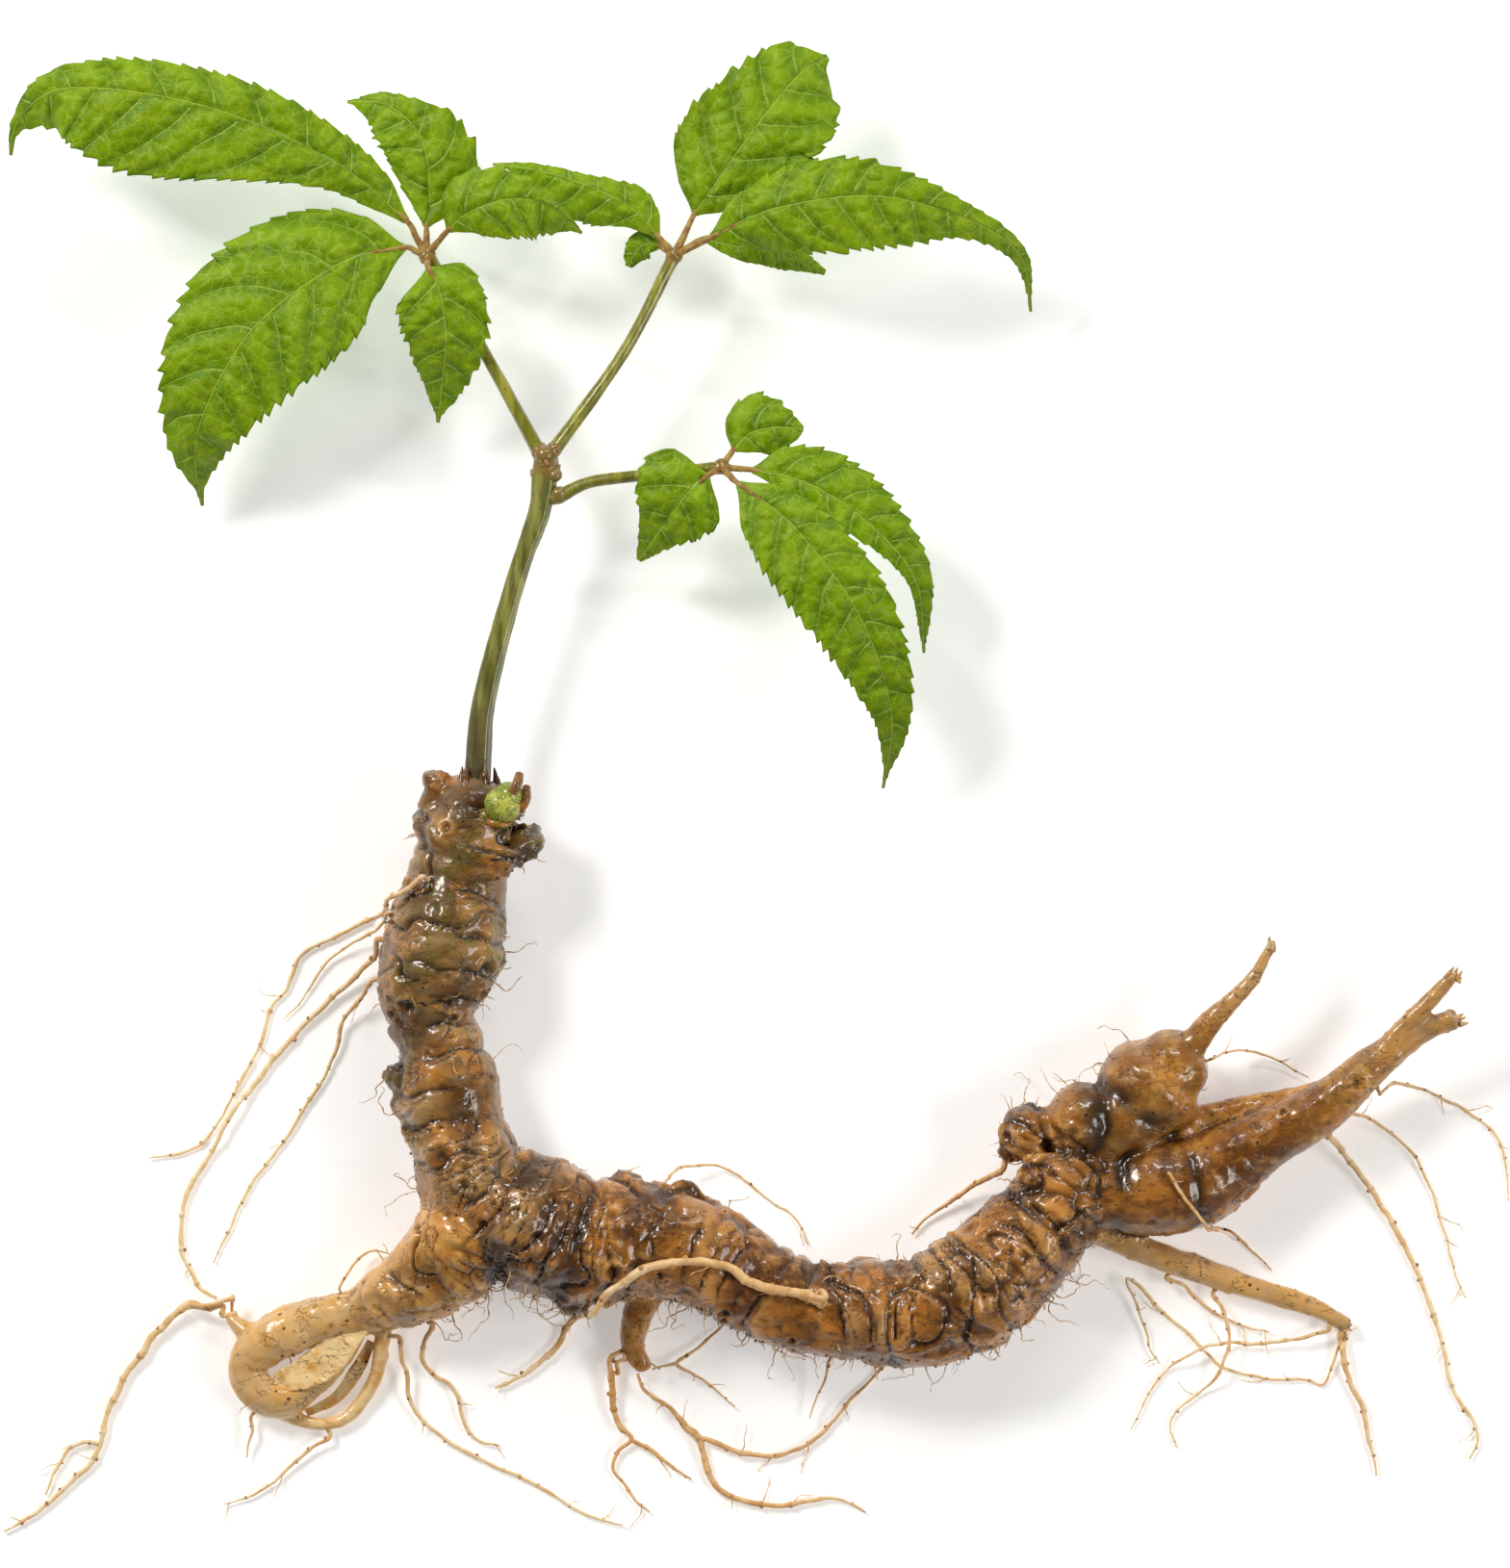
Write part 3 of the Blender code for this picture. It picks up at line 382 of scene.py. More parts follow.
soft_lamp("key_lamp", (-0.75, 0.7, 0.9), (0.35, 0.35), 13.0, (1.0, 0.97, 0.93))
soft_lamp("fill_lamp", (0.95, -0.25, 0.8), (0.6, 0.3), 6.0, (1.0, 0.98, 0.96))
soft_lamp("shine_lamp", (0.25, 0.9, 0.7), (0.5, 0.06), 3.0)
print("camera", round(CAMERA_HEIGHT, 2), "m above the table")

# %% [markdown]
# ## The limbs of the root
#
# A ginseng root grows as a few thick limbs that run into each other. Each limb
# is a list of stations: x, y, height of its middle and its radius, all in
# millimetres, on the same routes as the CAD root. Knobs are buds, old stem
# scars and swollen lumps that stand out of the limbs. Folds are rolls of bark.

# %% Limbs and knobs
LIMBS = {
    "neck": [
        (-59, -6, 13, 9.2), (-61, -16, 12.8, 9.8), (-62.5, -24, 12.5, 11.6), (-64, -32, 12.1, 12.5),
        (-66, -38, 12.1, 12.2), (-67, -42, 12, 11.3), (-67, -47, 12, 9.2), (-65, -52, 12, 8.7),
        (-64.5, -56, 12, 9.8), (-63.5, -62, 12, 10.8), (-62, -69, 12, 10.2), (-59.5, -76, 12.5, 10.8),
        (-56, -83, 13, 12), (-47, -89, 14.1, 14.6)],
    "rhizome": [
        (-47, -89, 14.1, 14.6), (-37, -92.5, 13.6, 13.9), (-27, -92.5, 13, 12.8),
        (-17, -93.5, 12.5, 11.6), (-9, -96.5, 12, 11), (3, -104, 11.5, 9.8), (13, -107.5, 11.5, 9.2),
        (23, -107.5, 11.5, 11.1), (33, -108, 11.5, 11.3), (43, -104, 11.9, 12.4),
        (52, -97, 11.6, 11.6), (61, -87.5, 12, 10.8), (66, -80, 12, 9.2)],
    "left_branch": [
        (-52, -89, 13.5, 12), (-57, -91, 12.5, 12), (-64, -97.5, 10.5, 10), (-71, -103, 8.6, 8.2),
        (-77, -105.5, 7.2, 6.8), (-82.5, -108, 5.6, 5), (-90, -109.5, 5.4, 5), (-97, -112, 5.4, 5.2),
        (-103, -115.5, 5, 4.4), (-105.5, -120.5, 4.6, 4), (-102, -125.5, 4.4, 4),
        (-96, -126, 4, 3.4), (-90, -122, 3.6, 2.8), (-85, -116.5, 3.8, 2.2), (-82.5, -112.5, 4, 1.8)],
    "outer_loop": [
        (-102, -126, 3.6, 2), (-101, -127.5, 2.6, 1.6), (-96, -130, 2.1, 1.5), (-91, -131.5, 2, 1.5),
        (-85.5, -130.5, 2, 1.5), (-81.5, -126.5, 2.1, 1.5), (-78.5, -121, 2.8, 1.6),
        (-77.5, -115.5, 4, 1.7), (-76.5, -108, 5.5, 1.8)],
    "little_root": [(-101, -116, 5, 3.6), (-104.5, -113, 4.6, 2.8), (-108.5, -109.5, 4, 1.4)],
    "upper_bulb": [(71, -73, 12, 7), (77, -66, 12, 9.5), (82.5, -60.5, 11.3, 11.2), (86, -57, 11.6, 8)],
    "bulb_stalk": [
        (88, -56, 12.5, 4.2), (90, -52.7, 14, 3.2), (94, -47.5, 16, 2.6), (98.5, -43, 17.5, 2),
        (102.5, -38.5, 18.5, 1.6), (106.3, -31.5, 19.5, 1)],
    "lower_tuber": [
        (68, -81, 11.5, 7.5), (74, -82.5, 10.8, 8.6), (81, -82, 10, 10.3), (90, -81, 9.6, 10),
        (98, -76.7, 10, 8), (105.5, -72, 11, 6.3), (117, -65.5, 12.5, 5.3), (128, -56, 14, 4),
        (137.5, -49.5, 15, 2.7), (144.7, -47, 15.5, 2.2)],
    "upper_prong": [
        (128, -56, 14.5, 3), (132, -50.5, 16, 2.2), (140.5, -41.5, 18, 1.8), (144, -37.7, 19, 1.4)],
    "back_root": [
        (88, -70, 9, 4), (93, -67.7, 8, 2.9), (103, -65.5, 7.5, 2.8), (112, -63.5, 8, 2.3),
        (118, -61.5, 9, 2)],
    "side_root": [
        (64, -85, 9, 5), (68, -88.5, 7.5, 3.8), (80, -95, 5.5, 3), (91.5, -99, 4.5, 2.8),
        (102.5, -103, 4, 2.5), (114, -106.5, 3.4, 2.2), (122.3, -110.5, 3, 1.8)],
    "down_root": [
        (-22, -98, 9, 6), (-22, -103, 7, 3.8), (-24.3, -108.7, 5.2, 3.2), (-25.5, -115, 3.6, 2.4),
        (-23.5, -119, 2.8, 1.9)],
}
KNOBS = [
    (-65.3, 0.5, 14, 3.4), (-65.5, 2.2, 14.6, 2.6), (-51.5, -3, 16.5, 4.2), (-47.6, -10.5, 14, 3.7),
    (-65, -6, 15, 4.4), (-73.5, -58.5, 13, 3.4), (-72.5, -64.5, 12, 3), (-64.5, -75, 20, 4),
    (-15, -84, 14, 3.8), (-27, -81.5, 13, 3.4), (68, -67.5, 14, 7.8), (73.5, -61.5, 12.5, 4.6),
    (56.5, -70.5, 12.5, 6.2), (52.5, -74, 12, 3), (-38, -104.5, 14, 4), (14, -99.5, 13, 2.8),
    (60, -80, 15, 6),
]
FOLDS = [       # the two folds of the lip under the crown, and the stump beside the stem
    [(-69, -5.0, 12, 1.8), (-67.5, -8.0, 17.5, 2.2), (-62.5, -11, 20.6, 2.5), (-55.5, -13.2, 21.2, 2.6),
     (-49.5, -13.4, 19.2, 2.6), (-45.8, -11.5, 16, 2.5), (-45.6, -7.5, 12, 2.0)],
    [(-65.6, -14.5, 18.6, 1.4), (-60.5, -16.4, 21.0, 1.5), (-54.5, -17.2, 20.8, 1.4),
     (-50.5, -17.0, 18.6, 1.2)],
    [(-66.6, -4, 14.5, 3.0), (-66.4, 1.0, 15.2, 2.9), (-66.0, 3.4, 15.4, 2.6)],
]
SUNK = 0.5      # mm: the CAD root is pressed this far into the table to make its flats

limb_paths = {}
for name, limb in LIMBS.items():
    limb_paths[name] = smooth_path(limb, 0.8)
print("limbs:", {name: f"{run[-1]:.0f} mm" for name, (_, run) in limb_paths.items()})

# %% [markdown]
# ## Growing the limbs into one body
#
# We wrap a tube round each limb and fold, add a ball for each end and knob, and
# let a voxel remesh melt the lot into one skin. A few rounds of smoothing then
# fill the sharp valleys, the way that bark closes over a fork.

# %% One grown skin
VOXEL = 0.56                    # mm
BROKEN_ENDS = ("lower_tuber", "upper_prong")    # these stay flat, for the fibres


def ball(centre, radius, detail=4):
    work = bmesh.new()
    bmesh.ops.create_icosphere(work, subdivisions=detail, radius=radius)
    corners = np.array([v.co for v in work.verts]) + centre
    faces = [tuple(v.index for v in f.verts) for f in work.faces]
    work.free()
    return corners, faces


shapes = []
for name, (path, run) in limb_paths.items():
    shapes.append(tube(path[:, :3], path[:, 3], 32))
    shapes.append(ball(path[0, :3], path[0, 3]))
    if name not in BROKEN_ENDS:
        shapes.append(ball(path[-1, :3], path[-1, 3]))
shapes += [ball(np.array(knob[:3], float), knob[3]) for knob in KNOBS]
for fold_route in FOLDS:
    path, run = smooth_path(fold_route, 0.6)
    shapes.append(tube(path[:, :3], path[:, 3], 20))
rough_root = make_object("rough_root", *join_shapes(shapes))
melt = rough_root.modifiers.new("melt", "REMESH")
melt.mode = "VOXEL"
melt.voxel_size = VOXEL
soften = rough_root.modifiers.new("soften", "SMOOTH")
soften.factor, soften.iterations = 0.5, 9
grown = bpy.data.meshes.new_from_object(rough_root.evaluated_get(bpy.context.evaluated_depsgraph_get()))
bpy.data.objects.remove(rough_root, do_unlink=True)
skin = corners_of(grown)
facing = normals_of(grown)
print("root skin:", len(skin), "corners,", len(grown.polygons), "faces")

# %% [markdown]
# ## Where am I on the limb?
#
# The rings of a rhizome run across each limb, so every corner of the skin must
# know its limb, how far along it lies and how thick the limb is there. We look
# for the limb station whose surface is nearest to the corner.

# %% Limb coordinates
NAMES = list(limb_paths)
stations = np.concatenate([path for path, _ in limb_paths.values()])
alongs = np.concatenate([run for _, run in limb_paths.values()])
owners = np.repeat(range(len(NAMES)), [len(run) for _, run in limb_paths.values()])
ways = [frames(path[:, :3]) for path, _ in limb_paths.values()]
forward_ways, side_ways, up_ways = (np.concatenate(way) for way in zip(*ways))
BATCH = 6000        # corners measured at once, to spare memory


def nearest_station(points):
    """For each point, the limb station whose round surface is nearest."""
    found = np.empty(len(points), int)
    for start in range(0, len(points), BATCH):
        part = points[start:start + BATCH]
        far = np.linalg.norm(part[:, None] - stations[None, :, :3], axis=2) - stations[None, :, 3]
        found[start:start + BATCH] = far.argmin(1)
    return found


station = nearest_station(skin)
owner = owners[station]
girth = stations[station, 3]
outward = skin - stations[station, :3]
along = alongs[station] + (outward * forward_ways[station]).sum(1)
around = girth * np.arctan2((outward * side_ways[station]).sum(1), (outward * up_ways[station]).sum(1))
for number, name in enumerate(NAMES):
    print(f"{name:12s} owns {(owner == number).sum():6d} corners")


def on(*names):
    """1 on the corners that belong to these limbs, else 0."""
    return np.isin(owner, [NAMES.index(name) for name in names]).astype(float)

# %% [markdown]
# ## Rings, folds, scars and warts
#
# A rhizome shortens itself each autumn, and its skin is left in folds, like a
# pushed-up sleeve. A fold is a slow swell with a sharp crease on one side. The
# folds wander, fade and split, so noise bends their spacing and weakens some.
# Round scars mark old stems, and tiny warts mark where rootlets broke away.

# %% Sculpt the bark
thick = smooth_step(girth, 4.0, 9.0)
bulbs = on("lower_tuber", "upper_bulb")
ringed = np.clip(on("neck", "rhizome") + 0.3 * on("left_branch") * thick + 0.12 * bulbs, 0, 1)
# mm from ring to ring on the neck, on the rhizome and elsewhere
pitch = np.where(on("neck") > 0, 7.2, np.where(on("rhizome") > 0, 5.6, 4.6))
# each ring swells slowly and drops into a crease, with a fainter twin line beside it
wander = 4.4 * noise(skin, 15.0, 3) + 1.8 * noise(skin, 5.0, 4) + 0.4 * noise(skin, 1.8, 5)
phase = (along + wander) / pitch
ring_number = np.floor(phase).astype(np.int64)
across = phase - ring_number
fold = np.sin(math.pi * across ** 0.6) ** 0.8
ring_power = 0.35 + 0.85 * lattice(ring_number, owner, ring_number * 0, 7)
fade = smooth_step(noise(skin, 9.0, 8) + 0.25 * noise(skin, 3.0, 9), -0.45, 0.2)
ring_strength = ringed * ring_power * fade
crease = np.exp(-(np.minimum(across, 1 - across) / 0.062) ** 2) * smooth_step(ring_strength, 0.08, 0.4)
twin = np.abs(across - 0.17)
crease = np.maximum(crease, 0.7 * np.exp(-(twin / 0.035) ** 2)
                    * smooth_step(ring_strength * ring_power, 0.3, 0.8))

# curved wrinkles: the level lines of a warped noise wander and close on themselves
unrolled = np.stack([along + 3.0 * noise(skin, 9.0, 60), around * 0.42, owner * 17.0], 1)
level_1 = noise(unrolled, 4.7, 64)
warped = skin + np.stack([noise(skin, 5.0, 61 + n) for n in range(3)], 1) * 2.2
level_2 = noise(warped + 40, 3.8, 65)
open_1 = smooth_step(noise(skin, 10.0, 66), -0.35, 0.25)
open_2 = smooth_step(noise(skin, 6.0, 67), -0.1, 0.45)
wrinkle_1 = np.exp(-(level_1 / 0.075) ** 2) * open_1
wrinkle_2 = np.exp(-(level_2 / 0.06) ** 2) * open_2
lip_1 = np.exp(-((np.abs(level_1) - 0.15) / 0.07) ** 2) * open_1
wrinkled = thick * (1 - 0.75 * bulbs)
lumps = layered(skin, 10.0, 21, 2)
small_lumps = layered(skin, 4.2, 24, 2)

# height says how far each corner moves out along its normal, in mm
height = (1.05 * ring_strength * (fold - 0.55) - 0.5 * crease * ring_strength
          + (0.75 * thick * (1 - 0.85 * bulbs) + 0.25 + 0.5 * on("left_branch")) * lumps
          + (0.42 * thick * (1 - 0.85 * bulbs) + 0.10) * small_lumps
          + wrinkled * (0.26 * lip_1 - 0.75 * wrinkle_1 - 0.42 * wrinkle_2)
          + 0.06 * noise(skin, 1.3, 41))
long_wrinkles = noise(np.stack([along * 0.10, skin[:, 0] * 0.45 + skin[:, 1] * 0.45, skin[:, 2]], 1), 1.0, 44)
slim = on("left_branch", "side_root", "down_root", "back_root")
height += (0.06 + 0.16 * slim) * (1 - ringed) * long_wrinkles
# painted shade: from here on the crease number only darkens the bark's colour, in the wrinkles, the seams
# between plates and the crevices
crease = np.maximum(crease, wrinkled * np.maximum(0.8 * wrinkle_1, 0.5 * wrinkle_2))

# rounded scales, like the overlapping plates that old bark breaks into
laid_round = np.stack([along + 2.6 * noise(skin, 7.0, 71),
                       around * 0.5 + 1.5 * noise(skin, 5.0, 72), owner * 17.0], 1)
plate_near, plate_next = cells(laid_round, 4.0, 69)
plate = smooth_step(plate_next - plate_near, 0.0, 0.3)
plates = thick * (1 - 0.9 * bulbs) * (1 - 0.6 * on("neck")) * smooth_step(noise(skin, 11.0, 70), -0.35, 0.25)
height += plates * (0.5 * (plate - 0.7) + 0.3 * (0.5 - plate_near))
crease = np.maximum(crease, plates * 0.5 * (1 - plate) ** 2)
striped = np.stack([along + 1.2 * noise(skin, 8.0, 73), around * 0.10, owner * 17.0], 1)
stripe = noise(striped, 1.5, 74)
height += (0.16 * on("neck") + 0.10 * on("rhizome")
           + 0.06 * on("upper_prong", "bulb_stalk", "lower_tuber")) * stripe

# a sunk ring, darkened with painted shade, where each round swelling meets what it grows from
CREVICE_WIDTH, CREVICE_DEPTH = 0.9, 0.8
SWELLINGS = [((82.5, -59.6, 11.3), 12.6), ((83.5, -82.3, 10.0), 12.2), ((66.5, -67.5, 14.0), 8.6),
             ((-73.0, -59.5, 13.0), 4.2), ((-44.0, -90.0, 14.0), 15.6)]
patchy = smooth_step(noise(skin, 6.0, 68), -0.6, 0.2) * thick
for centre, radius in SWELLINGS:
    far = np.linalg.norm(skin - centre, axis=1)
    line = np.exp(-((far - radius) / CREVICE_WIDTH) ** 2)
    height -= CREVICE_DEPTH * line * patchy
    crease = np.maximum(crease, 0.9 * line * patchy)

SCARS, WARTS = 58, 760


def scatter_on_skin(count, weights, seed):
    """Numbers of some corners of the skin, more of them where the weight is high."""
    picks = np.random.default_rng(seed)
    return picks.choice(len(skin), count, replace=False, p=weights / weights.sum())


up = np.clip(facing[:, 2] + 0.5, 0, 1)
scar_tone = np.zeros(len(skin))


def add_scar(centre, radius, rim, pit):
    """A raised rim round a sunk middle."""
    far = np.linalg.norm(skin - centre, axis=1) / radius
    near = far < 2.2
    height[near] += rim * np.exp(-((far[near] - 1) / 0.28) ** 2) - pit * np.exp(-(far[near] / 0.62) ** 2)
    scar_tone[near] = np.maximum(scar_tone[near], np.exp(-(far[near] / 0.42) ** 2))


for index in scatter_on_skin(SCARS, (on("neck", "rhizome") + 0.35 * bulbs) * up + 1e-9, 51):
    add_scar(skin[index], numbers.uniform(0.9, 2.5), numbers.uniform(0.3, 0.75), numbers.uniform(0.4, 1.0))
# two large scars: on the front of the neck and on the knob at its left
add_scar(np.array([-64.5, -74.9, 23.5]), 2.9, 0.75, 1.1)
add_scar(np.array([-72.0, -60.0, 15.5]), 2.2, 0.4, 0.3)

wart_tone = np.zeros(len(skin))
dotted = on("side_root", "upper_prong", "bulb_stalk", "back_root", "down_root")
for index in scatter_on_skin(WARTS, thick * 0.5 + 0.5 + 2.5 * dotted + 0.8 * on("lower_tuber"), 52):
    far = np.linalg.norm(skin - skin[index], axis=1)
    radius = numbers.uniform(0.28, 0.62)
    near = far < 3 * radius
    bump = np.exp(-(far[near] / radius) ** 2)
    height[near] += numbers.uniform(0.08, 0.32) * bump
    wart_tone[near] = np.maximum(wart_tone[near], bump * (numbers.uniform(0, 1) < 0.7))

# press the belly down to the table, as the CAD root is
bark = skin + facing * height[:, None]
bark[:, 2] = np.maximum(bark[:, 2] - SUNK, 0.15)
print("bark moved between", round(height.min(), 2), "and", round(height.max(), 2), "mm")

# %% [markdown]
# ## Crown, bud and pale ribbon
#
# The crown of the neck carries what is left of older years: a dark papery
# sheath round the stem, and a green winter bud with its scales. In the loop of
# the left branch an old root has gone flat and thin like a ribbon. These are
# small shapes of their own, and they join the bark as one grown piece.

# %% Small parts of the root
SHEATH_SCALES = 13
extra_shapes, extra_tones = [], []      # shapes in mm, and the bark's own numbers for each


def add_extra(shape, pale=0.0, moss=0.0, dark=0.0, straw=0.0):
    extra_shapes.append(shape)
    extra_tones.append({"pale": pale, "moss": moss, "crease": dark, "straw": straw})


def wavy_tube(route, seed, sides=12, roughness=0.12):
    """A tube whose skin is pushed in and out by noise."""
    path, _ = smooth_path(route, 0.4)
    corners, faces = tube(path[:, :3], path[:, 3], sides)
    ring = np.repeat(path[:, :3], sides, axis=0)
    out = corners - ring
    corners = ring + out * (1 + roughness * noise(corners, 1.1, seed)[:, None])
    return corners, faces


def flat_strip(route, widths, thickness, seed):
    """A thin closed ribbon with wavy edges; the route gives its middle line."""
    path, _ = smooth_path([(*p, w) for p, w in zip(route, widths)], 0.45)
    forward = frames(path[:, :3])[0]
    flat = np.stack([-forward[:, 1], forward[:, 0], forward[:, 0] * 0], 1)
    flat /= np.linalg.norm(flat, axis=1)[:, None]
    lanes = np.linspace(-1, 1, 15)
    grid = path[:, None, :3] + flat[:, None] * (path[:, 3][:, None] / 2 * lanes)[:, :, None]
    shape = grid.shape[:2]
    sheet = grid.reshape(-1, 3)
    sheet[:, 2] += 0.35 * noise(sheet, 3.0, seed) + 0.25 * noise(sheet, 1.2, seed + 1)
    sheet[:, :2] += 0.25 * noise(sheet, 2.0, seed + 2)[:, None]
    return closed_sheet(sheet, shape, thickness)


def closed_sheet(sheet, shape, thickness):
    """A grid of corners made a thin closed solid."""
    rows, columns = shape
    lift = np.zeros_like(sheet)
    lift[:, 2] = thickness / 2
    corners = np.concatenate([sheet + lift, sheet - lift])
    at = np.arange(rows * columns).reshape(rows, columns)
    under = at + rows * columns
    faces = []
    for i in range(rows - 1):
        for j in range(columns - 1):
            faces.append((at[i, j], at[i + 1, j], at[i + 1, j + 1], at[i, j + 1]))
            faces.append((under[i, j], under[i, j + 1], under[i + 1, j + 1], under[i + 1, j]))
    loop = ([(i, 0) for i in range(rows)] + [(rows - 1, j) for j in range(1, columns)]
            + [(i, columns - 1) for i in range(rows - 2, -1, -1)]
            + [(0, j) for j in range(columns - 2, 0, -1)])
    for a, b in zip(loop, loop[1:] + loop[:1]):
        faces.append((at[b], at[a], under[a], under[b]))
    return corners, faces


# the wide pale ribbon in the loop, and a narrow one outside it
add_extra(flat_strip([(-99.5, -122.5, 5.4), (-94, -121.0, 6.6), (-88.5, -117.5, 7.2), (-84, -112.5, 7.6),
                      (-79, -107.5, 7.8)], (3.4, 6.4, 7.6, 6.0, 3.4), 0.5, 61), pale=1.0)
add_extra(flat_strip([(-93, -129, 1.8), (-87, -126, 1.7), (-82.5, -120, 1.9), (-79.5, -114, 2.8)],
                     (1.6, 2.4, 2.8, 1.6), 0.45, 71), pale=1.0)

# the papery sheath round the foot of the stem
foot = np.array([-57.4, -2.0, 13.4])
lean = np.array([0, 1.0, 0])
for turn in range(SHEATH_SCALES):
    angle = math.tau * turn / SHEATH_SCALES + numbers.uniform(-0.2, 0.2)
    reach = np.array([math.cos(angle), 0.35 * math.sin(angle), math.sin(angle)])
    tall = numbers.uniform(3.5, 8.0)
    low, top = foot + reach * 3.9 - lean * 2.5, foot + reach * numbers.uniform(3.2, 4.3) + lean * tall
    middle = (low + top) / 2 + reach * 0.5
    width = numbers.uniform(0.8, 1.5)
    scale = wavy_tube([(*low, width), (*middle, width * 0.8), (*top, 0.15)], seed=90 + turn, roughness=0.4)
    add_extra(scale, dark=0.8)

# the winter bud: a smooth green cap, two brown scales beside it and a mossy roll below
BUD = np.array([-52.4, -2.9, 20.2])
BUD_BALLS = [(0.6, 0, 0, 3.9, 2.0), (1.8, 2.0, 0.6, 2.9, 2.0), (-2.8, -2.4, -1.2, 2.4, 1.0)]
for k, (*offset, size, green) in enumerate(BUD_BALLS):
    bud_corners, bud_faces = ball(BUD + offset, size, 3)
    add_extra((bud_corners + noise(bud_corners, 2.0, 110 + k)[:, None] * 0.25, bud_faces), moss=green)
add_extra(wavy_tube([(-49.9, -0.4, 23.2, 1.0), (-48.8, 1.4, 23.2, 1.1), (-48.4, 3.4, 21.8, 0.9)], seed=131),
          pale=0.1, dark=0.25)
add_extra(wavy_tube([(-48.4, -4.2, 20.5, 1.0), (-47.2, -1.6, 20.8, 1.1), (-47.0, 0.8, 19.6, 0.9)], seed=132),
          dark=0.35)
add_extra(wavy_tube([(-55.2, -6.2, 20.6, 0.8), (-52.6, -6.9, 21.6, 0.9), (-49.4, -6.4, 20.2, 0.8)],
                    seed=133, roughness=0.3), moss=1.0, dark=0.1)

# ragged fibres where the two prongs, the bulb's stalk and the side root broke off
BREAKS = [((144.9, -47.2, 15.6), (1, 0.25, 0.1), 7), ((144.0, -37.9, 19.0), (0.6, 0.8, 0.1), 6),
          ((106.3, -31.8, 19.4), (0.2, 1, 0.1), 4), ((122.3, -110.6, 3.0), (0.9, -0.3, 0.1), 5)]
for tip, way, count in BREAKS:
    tip, way = np.array(tip), np.array(way)
    for _ in range(count):
        spread = numbers.normal(0, 0.9, 3)
        start = tip - way * 1.2 + spread * 0.6
        end = start + way * numbers.uniform(1.0, 3.0) + numbers.normal(0, 0.5, 3)
        route = [(*start, 0.55), (*(0.5 * start + 0.5 * end), 0.45), (*end, 0.18)]
        add_extra(wavy_tube(route, sides=8, seed=int(abs(start[0] * 9))), pale=0.45, straw=0.3)
print(len(extra_shapes), "small parts so far")

# %% [markdown]
# ## Hairs of the root
#
# Fine hairs are what make a dug-up root look real: they hang from the belly,
# the knobs and the underside of each limb. A hair is a thin tube that wanders
# from a spot on the bark, droops to the table and swells in tiny nodes.

# %% Hairs
HAIRS, CLINGING_HAIRS, GRAINS = 230, 120, 240
HAIR_FLOOR = 0.35               # mm: hairs lie down on the table at this height


def hair(start, way, length, radius, sag, bend, seed):
    """A wandering thin route from a spot: rows of x, y, z, radius."""
    picks = np.random.default_rng(seed)
    steps = max(4, int(length / 1.5))
    point, way = np.array(start, float), np.array(way, float)
    way = way / (np.linalg.norm(way) + 1e-9)
    rows = [(*point, radius)]
    for k in range(steps):
        way = way + picks.normal(0, bend, 3) * (1, 1, 0.4) - (0, 0, sag * 0.18)
        way /= np.linalg.norm(way)
        point = point + way * length / steps
        if point[2] < HAIR_FLOOR:
            point[2] = HAIR_FLOOR
            way[2] = abs(way[2]) * 0.1
        rows.append((*point, radius * (1 - 0.6 * (k + 1) / steps)))
    return rows


def hair_shape(rows):
    """A six-sided tube along the rows, with a small knot every 3.1 mm."""
    path, run = smooth_path(rows, 0.45)
    knots = 1 + 0.8 * np.exp(-((run % 3.1) - 1.5) ** 2 / 0.05)
    return tube(path[:, :3], path[:, 3] * knots, 6)


edge_up = np.clip(1 - np.abs(facing[:, 2]) * 1.2, 0, 1)
belly = on("rhizome", "neck", "left_branch") * edge_up * smooth_step(-facing[:, 1], -0.1, 0.6)
belly *= np.clip(smooth_step(skin[:, 0], -84, -52) + 0.05, 0, 1)
knob_side = np.exp(-(np.linalg.norm(skin[:, :2] - (62, -66), axis=1) / 13) ** 2) * edge_up
hairy = belly + 1.5 * knob_side + 0.05 * edge_up * thick
for k, index in enumerate(scatter_on_skin(HAIRS, hairy + 1e-9, 53)):
    out = facing[index] * (1, 1, 0.3) + (0, -0.15, 0)
    long = numbers.uniform(1.5, 5.0) if numbers.uniform() < 0.66 else numbers.uniform(6, 15)
    rows = hair(bark[index] - facing[index] * 0.3, out, long, numbers.uniform(0.09, 0.17),
                sag=0.9, bend=0.55, seed=k)
    add_extra(hair_shape(rows), straw=1.0)
for k, index in enumerate(scatter_on_skin(CLINGING_HAIRS, on("rhizome", "neck") * up + 1e-9, 54)):
    rows = hair(bark[index] + facing[index] * 0.05, np.cross(facing[index], numbers.normal(0, 1, 3)),
                numbers.uniform(1.2, 4.0), numbers.uniform(0.08, 0.17), sag=0.0, bend=0.5, seed=700 + k)
    rows = np.array(rows)
    lift = noise(rows[:, :3], 2.0, 55) * 0.2
    rows[:, :3] += facing[index] * lift[:, None]
    add_extra(hair_shape(rows), straw=0.65)
for index in scatter_on_skin(GRAINS, belly + 0.7 * knob_side + 1e-9, 56):
    grain = ball(bark[index] + numbers.normal(0, 0.15, 3), numbers.uniform(0.15, 0.42), 1)
    if grain[0][:, 2].min() > 0.1:
        add_extra(grain, dark=0.35)
print(len(extra_shapes), "small parts with hairs and grains of soil")
